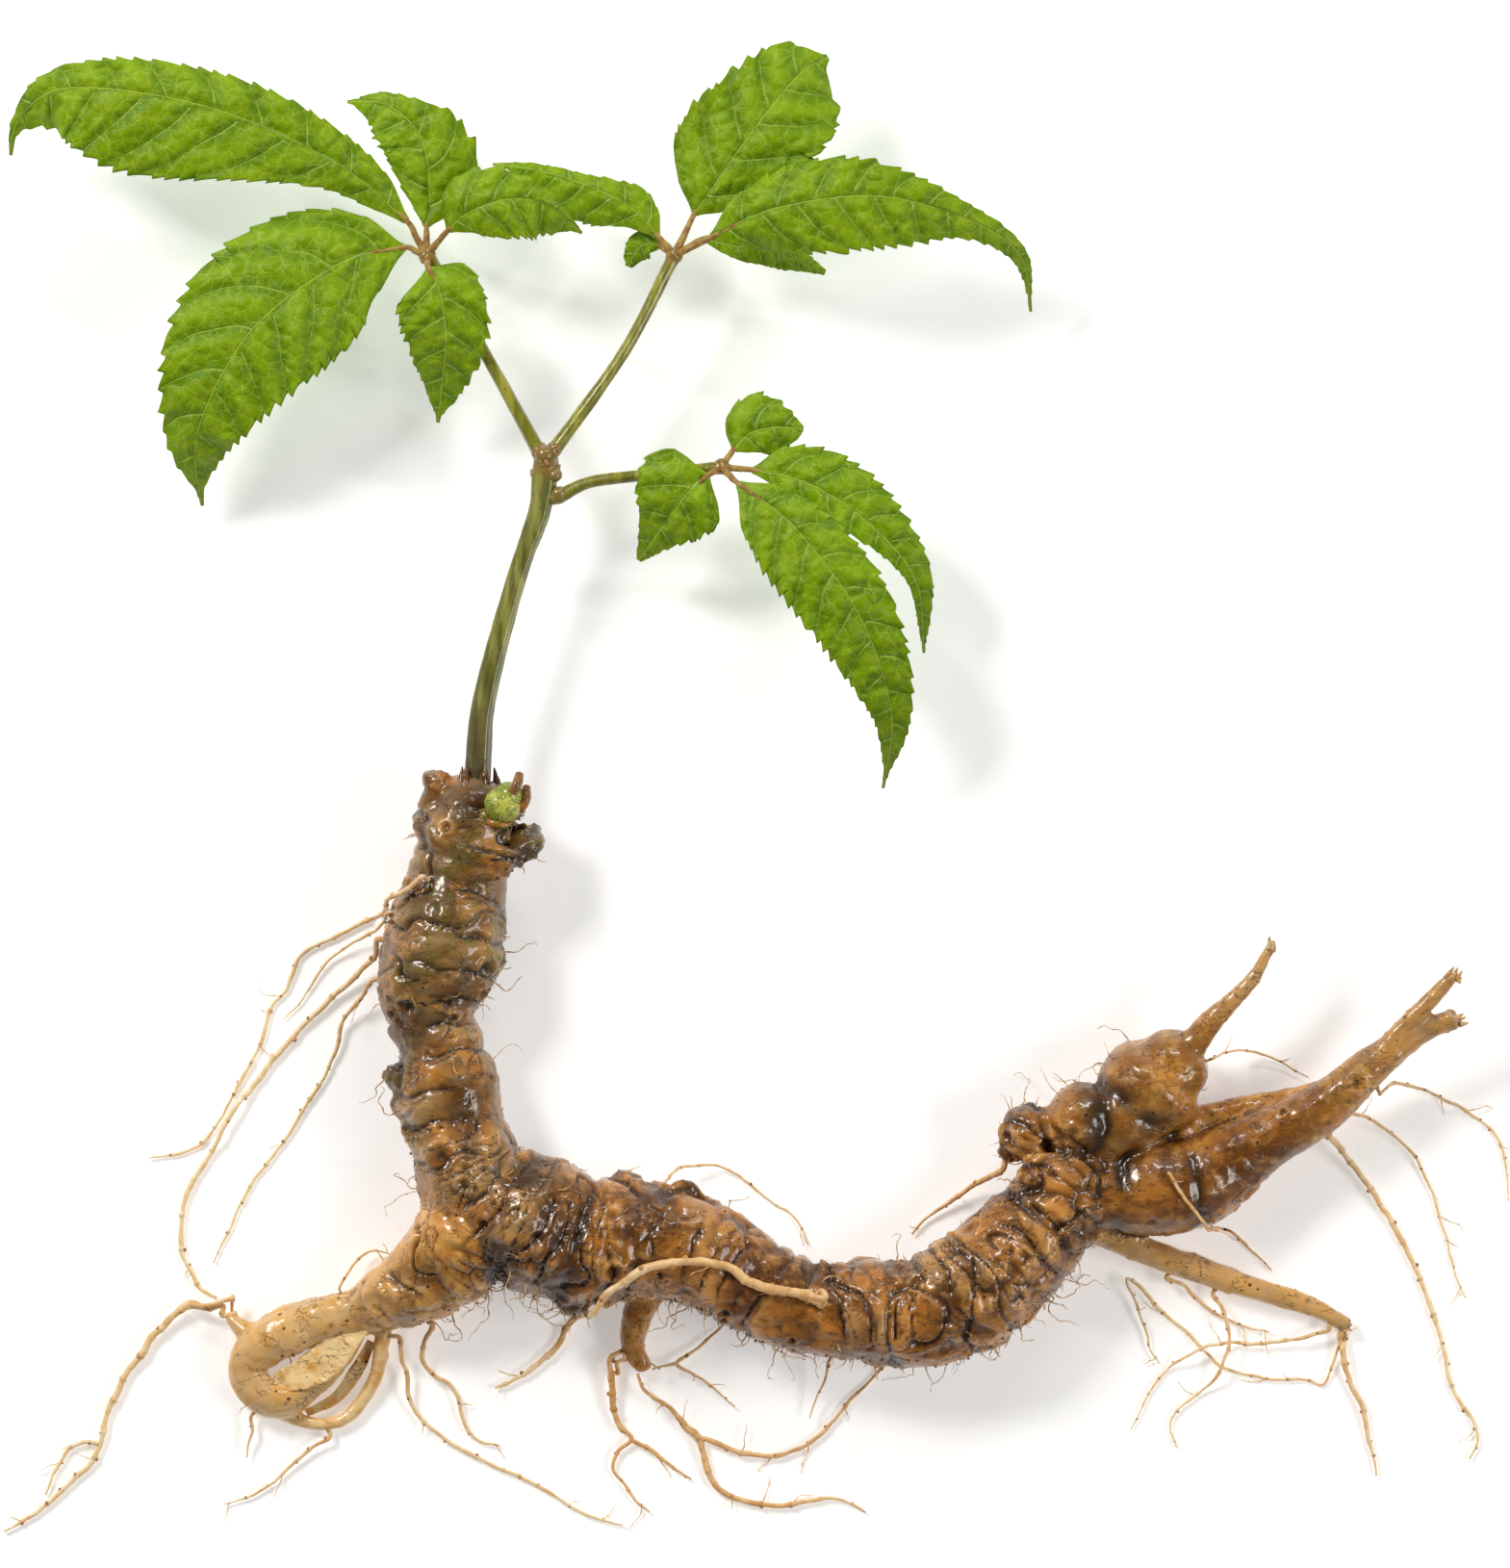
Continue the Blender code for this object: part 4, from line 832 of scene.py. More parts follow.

# %% [markdown]
# ## The finished root
#
# Now everything joins into one mesh in metres. Each corner carries a few
# numbers that the material will read: how much painted shade it gets in its
# creases and hollows, how pale or golden its limb is, where moss grows, where
# it is a hair, a wart or a scar, and how much painted highlight its ridges get.

# %% Assemble the root
grown_faces = [tuple(p.vertices) for p in grown.polygons]
corners, faces = join_shapes([(bark, grown_faces)] + extra_shapes)
young = smooth_step(along, 12, 42) * on("left_branch") + on("outer_loop", "little_root")
pale = np.clip(0.6 * young + 0.3 * on("outer_loop") + 0.45 * on("side_root") + 0.25 * on("upper_prong")
               + 0.5 * on("bulb_stalk") * smooth_step(along, 6, 26)
               + 0.3 * on("lower_tuber") * smooth_step(along, 50, 85), 0, 1)
golden = np.clip(on("left_branch") * smooth_step(along, -6, 10) + on("outer_loop", "little_root")
                 + 0.8 * on("side_root", "down_root", "back_root", "upper_prong")
                 + 0.45 * on("bulb_stalk", "upper_bulb")
                 + 0.35 * on("lower_tuber") * smooth_step(along, 30, 70), 0, 1)


def near_spot(spot, width):
    """1 at a spot, fading to 0 round it."""
    return np.exp(-(np.linalg.norm(skin - spot, axis=1) / width) ** 2)


neckness = np.clip(1 - np.abs(skin[:, 1] + 22) / 30, 0, 1) * on("neck")
moss = neckness * smooth_step(noise(skin, 6.0, 140) + 0.4 * noise(skin, 1.8, 141), -0.3, 0.55)
moss = np.maximum(moss, 0.9 * near_spot((-72.5, -59.5, 14.5), 4.0))
# painted shade in the fork between the upper bulb and the lower tuber, and round the foot of the stem
fork_shade = near_spot((70.5, -75.5, 19), 7.0)
foot_shade = near_spot((-57.4, -2.0, 20), 6.0)
# painted shade: a patchy darker stretch of the rhizome around x = -33 mm
shaded = on("rhizome") * np.exp(-((skin[:, 0] + 33) / 11) ** 2)
shaded *= smooth_step(noise(skin, 9.0, 142), -0.6, 0.3)
bark_numbers = {
    # painted shade in the creases, crevices, the fork and round the stem's foot; on the small parts the dark
    # number is their own colour
    "crease": np.clip(crease + 0.65 * fork_shade + 0.8 * foot_shade, 0, 1),
    "pale": pale,
    "moss": moss,
    "straw": np.zeros(len(bark)),
    "golden": golden,
    # painted shade: the lower the bark lies, the darker it is painted; a little everywhere, more on the
    # shaded stretch
    "cavity_shade": np.clip(0.28 + 0.3 * shaded - height * 0.62, 0, 1),
    "wart": np.clip(wart_tone + scar_tone * 0.8, 0, 1),
    # painted highlight: the higher the bark stands, the lighter tan it is painted
    "ridge_highlight": np.clip((height - 0.15) * 0.9, 0, 1),
    "neck": on("neck"),
}
root = make_object("ringed_root", corners * MM, faces)
for name, own in bark_numbers.items():
    more = [np.full(len(shape[0]), tone.get(name, 0.0)) for shape, tone in zip(extra_shapes, extra_tones)]
    set_attribute(root, name, np.concatenate([own] + more))
print("ringed root:", len(root.data.vertices), "corners,", len(root.data.polygons), "faces")

# %% [markdown]
# ## Bark that looks wet
#
# Washed ginseng bark is brown over ochre, its folds fall into deep shade, and
# it shines as if varnished. So the recipe mixes brown and ochre patches, paints
# shade into the creases and hollows and a highlight onto the ridges, adds tiny
# dark pores, and lays a thin coat over a satin base. The young branch is straw
# coloured, and moss greens the neck.

# %% Bark recipe
bark_recipe = Recipe("root_bark")
r = bark_recipe
big = r.noise(85.0, 3.0, roughness=0.5)
middle = r.noise(300.0, 3.0)
grain = r.noise(1600.0, 3.0)
streak = r.noise(230.0, 3.0, where=r.stretch(1.0, 2.6, 1.0))
tone = r.mix(r.band(big, 0.38, 0.62), colour(116, 68, 20), colour(200, 130, 50))
tone = r.mix(r.band(middle, 0.5, 0.75, 0.0, 0.7), tone, colour(226, 166, 86))
tone = r.mix(r.band(streak, 0.50, 0.34, 0.0, 0.55), tone, colour(76, 43, 13))
tone = r.mix(r.math("MULTIPLY", r.attribute("golden"), 0.8), tone,
             r.mix(r.band(middle, 0.35, 0.65), colour(204, 130, 42), colour(240, 182, 92)))
# painted highlight: raised bark lightened to pale tan
tone = r.mix(r.math("MULTIPLY", r.attribute("ridge_highlight"), 0.7), tone, colour(232, 180, 112))
pale_tone = r.mix(r.band(middle, 0.4, 0.7), colour(248, 216, 158), colour(230, 172, 92))
tone = r.mix(r.attribute("pale"), tone, pale_tone)
grey = r.math("MULTIPLY", r.attribute("neck"), r.band(r.noise(180.0, 4.0), 0.36, 0.62, 0.1, 0.7))
tone = r.mix(grey, tone, colour(142, 120, 80))
green = r.math("MULTIPLY", r.attribute("moss"), r.band(r.noise(600.0, 4.0), 0.38, 0.56, 0.1, 0.85),
               clamp=True)
tone = r.mix(green, tone, r.mix(r.band(grain, 0.4, 0.6), colour(72, 74, 16), colour(128, 134, 38)))
bud_tone = r.mix(r.band(middle, 0.4, 0.62), colour(188, 190, 84), colour(132, 146, 42))
tone = r.mix(r.band(r.attribute("moss"), 1.2, 1.8), tone, bud_tone)
# painted shade in the hollows of the bark, weaker on the pale limbs
sunk = r.math("MULTIPLY", r.attribute("cavity_shade"), r.band(r.attribute("pale"), 0.0, 1.0, 0.8, 0.2))
tone = r.mix(sunk, tone, colour(60, 32, 10))
# painted shade in the creases; on the sheath, the bud scales and the grains of soil it is their own dark
# colour
dark_line = r.math("MULTIPLY", r.attribute("crease"), r.band(r.attribute("pale"), 0.0, 1.0, 0.96, 0.4))
tone = r.mix(dark_line, tone, colour(44, 26, 11))
# painted shade: thin wandering cracks, pressed in as bump below, are also darkened in colour
thin = r.math("ABSOLUTE", r.math("SUBTRACT", r.noise(340.0, 2.0, where=r.stretch(1.0, 1.6, 1.0)), 0.5))
thin_line = r.math("MULTIPLY", r.band(thin, 0.0, 0.022, 1.0, 0.0),
                   r.band(r.noise(160.0, 1.0), 0.46, 0.6))
tone = r.mix(r.math("MULTIPLY", thin_line, 0.55), tone, colour(58, 32, 12))
pores = r.band(r.voronoi(330.0), 0.09, 0.17, 1.0, 0.0)
pores = r.math("MULTIPLY", pores, r.band(r.noise(240.0, 2.0), 0.48, 0.56))
tone = r.mix(r.math("MULTIPLY", pores, 0.85), tone, colour(44, 24, 9))
tone = r.mix(r.math("MULTIPLY", r.attribute("wart"), 0.75), tone, colour(54, 29, 10))
straw_tone = r.mix(r.band(r.noise(500.0, 2.0), 0.45, 0.62), colour(222, 184, 124), colour(170, 118, 60))
tone = r.mix(r.attribute("straw"), tone, straw_tone)
relief = r.math("ADD", r.math("MULTIPLY", middle, 1.1), r.math("MULTIPLY", grain, 0.16))
relief = r.math("SUBTRACT", relief, r.math("MULTIPLY", pores, 0.5))
relief = r.math("SUBTRACT", relief, r.math("MULTIPLY", thin_line, 0.8))
shine = r.band(r.noise(200.0, 3.0), 0.35, 0.7, 0.22, 0.45)
root.data.materials.append(bark_recipe.finish(tone, shine, relief, depth=0.0005, strength=0.8,
                                              Coat_Weight=0.6, Coat_Roughness=0.1, Coat_IOR=1.45,
                                              Specular_IOR_Level=0.35))
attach(root, "root")
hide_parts("root_body")
print("bark ready")

# %% [markdown]
# ## Reading a rootlet back from the CAD
#
# The CAD rootlets are plain six-sided tubes. Their rings of corners are close
# together and the gaps between rings are long, so we can find each ring as a
# clump of short edges. The middles of the rings are the rootlet's route.

# %% Rootlet skeletons
def ring_middles(node):
    """Middles and radii of the rings of a CAD tube, and which rings are neighbours."""
    mesh = CAD[node].data
    work = bmesh.new()
    work.from_mesh(mesh)
    bmesh.ops.remove_doubles(work, verts=work.verts, dist=2e-6)
    volume, area = abs(work.calc_volume()), sum(f.calc_area() for f in work.faces)
    typical = 2 * volume / area
    parent = list(range(len(work.verts)))

    def top(i):
        while parent[i] != i:
            i = parent[i]
        return i

    work.verts.index_update()
    links = [(e.verts[0].index, e.verts[1].index, e.calc_length()) for e in work.edges]
    for a, b, length in links:
        if length < 1.55 * typical:
            parent[top(a)] = top(b)
    points = np.array([v.co for v in work.verts])
    work.free()
    groups = {}
    for i in range(len(points)):
        groups.setdefault(top(i), []).append(i)
    number = {head: k for k, head in enumerate(groups)}
    middles = np.array([points[g].mean(0) for g in groups.values()])
    radii = np.array([np.linalg.norm(points[g] - points[g].mean(0), axis=1).mean() for g in groups.values()])
    radii = np.where([len(g) < 4 for g in groups.values()], typical, radii)
    near = {k: set() for k in range(len(groups))}
    for a, b, _ in links:
        i, j = number[top(a)], number[top(b)]
        if i != j:
            near[i].add(j)
            near[j].add(i)
    return middles / MM, radii / MM, near


def strands(node):
    """The routes of a CAD rootlet: its main strand first, then any forks."""
    middles, radii, near = ring_middles(node)

    def walk(start, blocked=()):
        """The farthest ring from a start, and the way back to it."""
        seen, queue = {start: None}, [(0.0, start)]
        far = {start: 0.0}
        while queue:
            queue.sort()
            distance, at = queue.pop(0)
            for other in near[at]:
                step = distance + np.linalg.norm(middles[at] - middles[other])
                if other not in blocked and step < far.get(other, 1e9):
                    far[other], seen[other] = step, at
                    queue.append((step, other))
        end = max(far, key=far.get)
        way = [end]
        while seen[way[-1]] is not None:
            way.append(seen[way[-1]])
        return way

    first = walk(walk(0)[0])
    found, used = [first], set(first)
    for at in first:
        for other in near[at] - used:
            if other not in used:
                fork = walk(other, used)[::-1]
                if len(fork) >= 4:
                    found.append([at] + fork)
                used |= set(fork)
    return [np.column_stack([middles[way], radii[way]]) for way in found]


rootlet_nodes = sorted(name for name in CAD if name.startswith("rootlet_"))
routes = {node: strands(node) for node in rootlet_nodes}
for node in rootlet_nodes:
    print(f"{node:24s}", [f"{len(s)} rings, {smooth_path(s, 0.5)[1][-1]:.0f} mm" for s in routes[node]])

# %% [markdown]
# ## Rootlets with nodes and side hairs
#
# A real rootlet is not a smooth wire. It swells and thins, turns slightly at
# every knot, and each knot is a small dark collar where a finer hair once grew.
# Some of those hairs are still there, so we grow a few on every rootlet.

# %% Dress the rootlets
THINNER = 0.74      # the CAD tube is the thickest that a rootlet gets
KNOT_EVERY = 5.2    # mm
SIDE_HAIRS = 0.26   # the share of knots that still carry a hair


def dress_strand(route, seed):
    """Shapes of one strand and how brown each corner is."""
    picks = np.random.default_rng(seed)
    path, run = smooth_path(route, 0.3)
    points, radii = path[:, :3].copy(), path[:, 3] * THINNER
    knots, at = [], picks.uniform(1.5, 4.0)
    while at < run[-1] - 0.5:
        knots.append(at)
        at += KNOT_EVERY * picks.uniform(0.5, 1.5)
    shares = smooth_step(run, 0, 3)[:, None]
    bends = np.stack([noise(points + (0, 0, seed), 4.5, 200 + n) for n in range(2)], 1) * 0.42
    bends += np.stack([noise(points + (0, 0, seed), 1.6, 210 + n) for n in range(2)], 1) * 0.12
    points[:, :2] += bends * shares
    radii *= 1 + 0.16 * noise(points + (0, 0, seed), 2.6, 220) + 0.10 * noise(points, 0.9, 221)
    radii *= 1 - 0.35 * smooth_step(run, run[-1] - 9, run[-1])
    brown = 0.25 * smooth_step(9 - run, 0, 9)
    for knot in knots:
        bump = np.exp(-((run - knot) / 0.35) ** 2)
        radii *= 1 + picks.uniform(0.1, 0.32) * bump
        brown = np.maximum(brown, np.exp(-((run - knot) / 0.28) ** 2) * picks.uniform(0.0, 0.55))
    sides = 9
    shapes, browns = [tube(points, radii, sides)], [np.repeat(brown, sides)]
    forward, side, up = frames(points)
    for knot in knots:
        i = int(np.searchsorted(run, knot))
        angle = picks.uniform(0, math.tau)
        out = side[i] * math.cos(angle) + up[i] * math.sin(angle)
        nub = ball(points[i] + out * radii[i] * 0.8, 0.16 + radii[i] * picks.uniform(0.25, 0.55), 1)
        shapes.append(nub)
        browns.append(np.full(len(nub[0]), 1.0))
        if picks.uniform() < SIDE_HAIRS:
            way = forward[i] * 0.8 + (side[i] if picks.uniform() < 0.5 else -side[i])
            rows = hair(points[i], way * (1, 1, 0.3), picks.uniform(1.5, 7.0), picks.uniform(0.1, 0.16),
                        sag=0.4, bend=0.3, seed=seed * 31 + i)
            twig = hair_shape(rows)
            shapes.append(twig)
            browns.append(np.full(len(twig[0]), 0.15))
    return shapes, browns


rootlet_recipe = Recipe("rootlet_skin")
r = rootlet_recipe
soft = r.noise(420.0, 4.0)
tone = r.mix(r.band(soft, 0.35, 0.65), colour(252, 232, 192), colour(242, 206, 148))
tone = r.mix(r.band(r.noise(130.0, 3.0), 0.5, 0.7, 0.0, 0.6), tone, colour(226, 172, 98))
brown_spots = r.math("MULTIPLY", r.attribute("brown"), r.band(r.noise(900.0, 2.0), 0.3, 0.6, 0.55, 1.0))
tone = r.mix(brown_spots, tone, colour(138, 82, 30))
golden_tone = r.mix(r.band(soft, 0.4, 0.6), colour(226, 168, 88), colour(196, 132, 58))
tone = r.mix(r.math("MULTIPLY", r.attribute("golden"), 0.65), tone, golden_tone)
relief = r.math("ADD", soft, r.math("MULTIPLY", r.noise(2200.0, 2.0), 0.5))
rootlet_skin = rootlet_recipe.finish(tone, r.band(soft, 0.3, 0.7, 0.36, 0.55), relief,
                                     depth=0.0002, strength=0.5, Coat_Weight=0.15, Coat_Roughness=0.3)

GOLDEN = ("rootlet_over_rhizome", "rootlet_knob_long", "rootlet_tuber_front", "rootlet_down_right",
          "rootlet_down_left")


def bark_near(point):
    """The corner of the bark nearest to a point, and how far off it is."""
    far = np.linalg.norm(bark - point, axis=1)
    return bark[far.argmin()], far.min()


def rooted(strand, widen):
    """The strand turned so that it starts at the bark, with one more ring sunk into it."""
    if bark_near(strand[-1, :3])[1] < bark_near(strand[0, :3])[1]:
        strand = strand[::-1]
    nearest, _ = bark_near(strand[0, :3])
    into = strand[0].copy()
    into[:3] = nearest + (nearest - strand[0, :3]) * 0.3
    into[3] *= widen
    return np.vstack([into, strand])


for number, node in enumerate(rootlet_nodes):
    shapes, browns = [], []
    for k, strand in enumerate(routes[node]):
        if k == 0:
            strand = rooted(strand, 0.9 if node in GOLDEN else 1.3)
        made, tones_of = dress_strand(strand, 300 + number * 7 + k)
        shapes += made
        browns += tones_of
    corners, faces = join_shapes(shapes)
    corners[:, 2] = np.maximum(corners[:, 2], 0.05)
    rootlet = make_object(node.replace("rootlet", "fibre"), corners * MM, faces)
    set_attribute(rootlet, "brown", np.concatenate(browns))
    from_base = np.linalg.norm(corners - strand[0, :3], axis=1)
    golden = 0.6 * np.exp(-(from_base / 26) ** 2)
    if node in GOLDEN:
        golden += 0.75 * np.exp(-(from_base / 45) ** 2)
    set_attribute(rootlet, "golden", np.clip(golden, 0, 1))
    rootlet.data.materials.append(rootlet_skin)
    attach(rootlet, "root")
    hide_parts(node)
print(len(rootlet_nodes), "rootlets dressed")

# %% [markdown]
# ## Stem and leaf stalks
#
# The stem is a ribbed green reed, grey-brown and shiny at its foot. At the top
# it swells into a joint, where three leaf stalks and a ring of tiny dry bracts
# sit. The visual stem starts inside the crown, so no gap shows.

# %% Stem and stalks
BRACTS = 16
LUMPS = [(1.9, -3.5, 1.6, 1.5), (-0.4, 0.6, 1.2, 2.0), (2.6, -7.6, 0.2, 1.9), (-1.4, 1.6, 0.4, 1.7),
         (1.7, 1.8, 0.5, 1.7)]      # the swellings of the joint: an offset from its middle, and a radius
STEM = [(-57.6, -6, 13.4, 3.1), (-57.5, -1, 13.6, 2.99), (-57.3, 4, 14.0, 2.76), (-56.2, 17, 14.8, 2.47),
        (-52.3, 33, 15.8, 2.13), (-48.3, 46.5, 16.4, 2.08), (-44.6, 57, 16.8, 2.29), (-43.4, 64, 17.1, 2.6),
        (-43, 68.5, 17.3, 2.47), (-42.9, 70.3, 17.35, 1.5)]
TOP = np.array([-43.0, 68.5, 17.3])
STALKS = {
    "petiole_left": [
        (-0.4, 0.2, 0, 1.5), (-1.6, 1.6, 0.2, 1.45), (-12, 20.5, 0.8, 1.22), (-22.5, 38.6, 2.3, 1.3),
        (-24.5, 41.5, 2.5, 1.8)],
    "petiole_middle": [
        (0.5, 0.4, 0, 1.5), (1.8, 1.8, 0.4, 1.45), (16, 21.5, 1.8, 1.22), (25.2, 39, 2.9, 1.3),
        (26.5, 41.5, 3, 1.8)],
    "petiole_right": [
        (0.6, -7.5, 0, 1.6), (2.4, -8.0, 0.2, 1.5), (9, -5, 0.6, 1.22), (20, -3.6, 1.6, 1.22),
        (34.5, -2.2, 2.9, 1.3), (36, -2, 3, 1.8)],
}
HUBS = {name: TOP + stalk[-1][:3] for name, stalk in STALKS.items()}


def ribbed_tube(route, ribs, depth, seed, sides):
    """Corners and faces of a tube with fine lengthwise ribs, and each corner's share of the length."""
    path, run = smooth_path(route, 0.45)
    corners, faces = tube(path[:, :3], path[:, 3], sides)
    middle = np.repeat(path[:, :3], sides, axis=0)
    out = corners - middle
    angle = np.tile(np.arange(sides) * math.tau / sides, len(path))
    along_run = np.repeat(run, sides)
    shape = (1 + depth * np.cos(ribs * angle) + 0.05 * noise(corners, 5.0, seed)
             + 0.02 * noise(corners, 1.5, seed + 1))
    return middle + out * shape[:, None], faces, along_run / run[-1]


def stalk_recipe(name, green, light, foot):
    r = Recipe(name)
    fibres = r.noise(300.0, 3.0, where=r.stretch(2.0, 0.2, 2.0))
    tone = r.mix(r.band(fibres, 0.38, 0.66), green, light)
    old = r.math("MULTIPLY", r.attribute("foot"), r.band(r.noise(220.0, 4.0), 0.25, 0.6, 0.6, 1.0))
    tone = r.mix(old, tone, foot)
    joint_tone = r.mix(r.band(fibres, 0.4, 0.6), colour(170, 120, 70), colour(124, 74, 40))
    tone = r.mix(r.math("MULTIPLY", r.attribute("red"), 0.8), tone, joint_tone)
    speck = r.band(r.voronoi(520.0), 0.10, 0.22, 0.55, 0.0)
    tone = r.mix(speck, tone, colour(92, 72, 34))
    return r.finish(tone, r.band(r.noise(180.0, 2.0), 0.3, 0.7, 0.22, 0.4), fibres,
                    depth=0.0002, strength=0.6, Coat_Weight=0.4, Coat_Roughness=0.12)


stem_skin = stalk_recipe("stem_skin", colour(92, 94, 26), colour(148, 146, 66), colour(74, 60, 42))
petiole_skin = stalk_recipe("petiole_skin", colour(112, 112, 26), colour(158, 154, 56), colour(118, 98, 58))


def stalk_object(name, shapes, skin_material, node):
    """One piece from (corners, faces, how old, how red) for each shape."""
    corners, faces = join_shapes([(c, f) for c, f, _, _ in shapes])
    piece = make_object(name, corners * MM, faces)
    set_attribute(piece, "foot", np.concatenate([foot for _, _, foot, _ in shapes]))
    set_attribute(piece, "red", np.concatenate([red for _, _, _, red in shapes]))
    piece.data.materials.append(skin_material)
    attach(piece, "root")
    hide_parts(node)


corners, faces, share = ribbed_tube(STEM, 7, 0.05, 400, 36)
red = np.clip(smooth_step(share, 0.90, 0.97), 0, 1) * 0.75
stem_shapes = [(corners, faces, smooth_step(0.46 - share, 0, 0.36), red)]
for k in range(BRACTS):
    angle = math.tau * k / BRACTS + numbers.uniform(-0.2, 0.2)
    out = np.array([math.cos(angle), 0.2, math.sin(angle)])
    height_up = numbers.uniform(-6.0, 0.6)
    start = TOP + (0.05 * height_up, height_up, 0) + out * 1.9
    end = start + out * numbers.uniform(0.5, 1.3) + (0, numbers.uniform(0.8, 2.2), 0)
    route = [(*start, 0.7), (*((start + end) / 2 + out * 0.2), 0.55), (*end, 0.12)]
    bract = wavy_tube(route, seed=410 + k, sides=8, roughness=0.4)
    stem_shapes.append((*bract, np.zeros(len(bract[0])), np.full(len(bract[0]), numbers.uniform(0.7, 1.0))))
for *offset, size in LUMPS:
    round_corners, faces = ball(TOP + offset, size, 3)
    bumpy = round_corners + noise(round_corners, 1.4, 430)[:, None] * 0.25
    stem_shapes.append((bumpy, faces, np.zeros(len(bumpy)), np.full(len(bumpy), 0.55)))
stalk_object("green_stem", stem_shapes, stem_skin, "main_stem")

for number, (name, stalk) in enumerate(STALKS.items()):
    route = [(*(TOP + row[:3]), row[3]) for row in stalk]
    corners, faces, share = ribbed_tube(route, 5, 0.04, 440 + number, 24)
    red = np.clip(0.8 * smooth_step(share, 0.93, 1.0) + 0.5 * smooth_step(0.06 - share, 0, 0.06), 0, 1)
    hub_corners, hub_faces = ball(HUBS[name], 1.75, 3)
    bumpy = hub_corners + noise(hub_corners, 1.2, 450 + number)[:, None] * 0.35
    shapes = [(corners, faces, share * 0, red),
              (bumpy, hub_faces, np.zeros(len(bumpy)), np.full(len(bumpy), 0.8))]
    stalk_object(name.replace("petiole", "leaf_stalk"), shapes, petiole_skin, name)
print("hubs at", {name: tuple(hub.round(1)) for name, hub in HUBS.items()})

# %% [markdown]
# ## The leaflets as tables
#
# Each leaflet is drawn by its midrib, as offsets from its hub in millimetres,
# and by its half width at nine stations, first to the left of the midrib and
# then to the right. Two droops say how far the left and right sides hang.

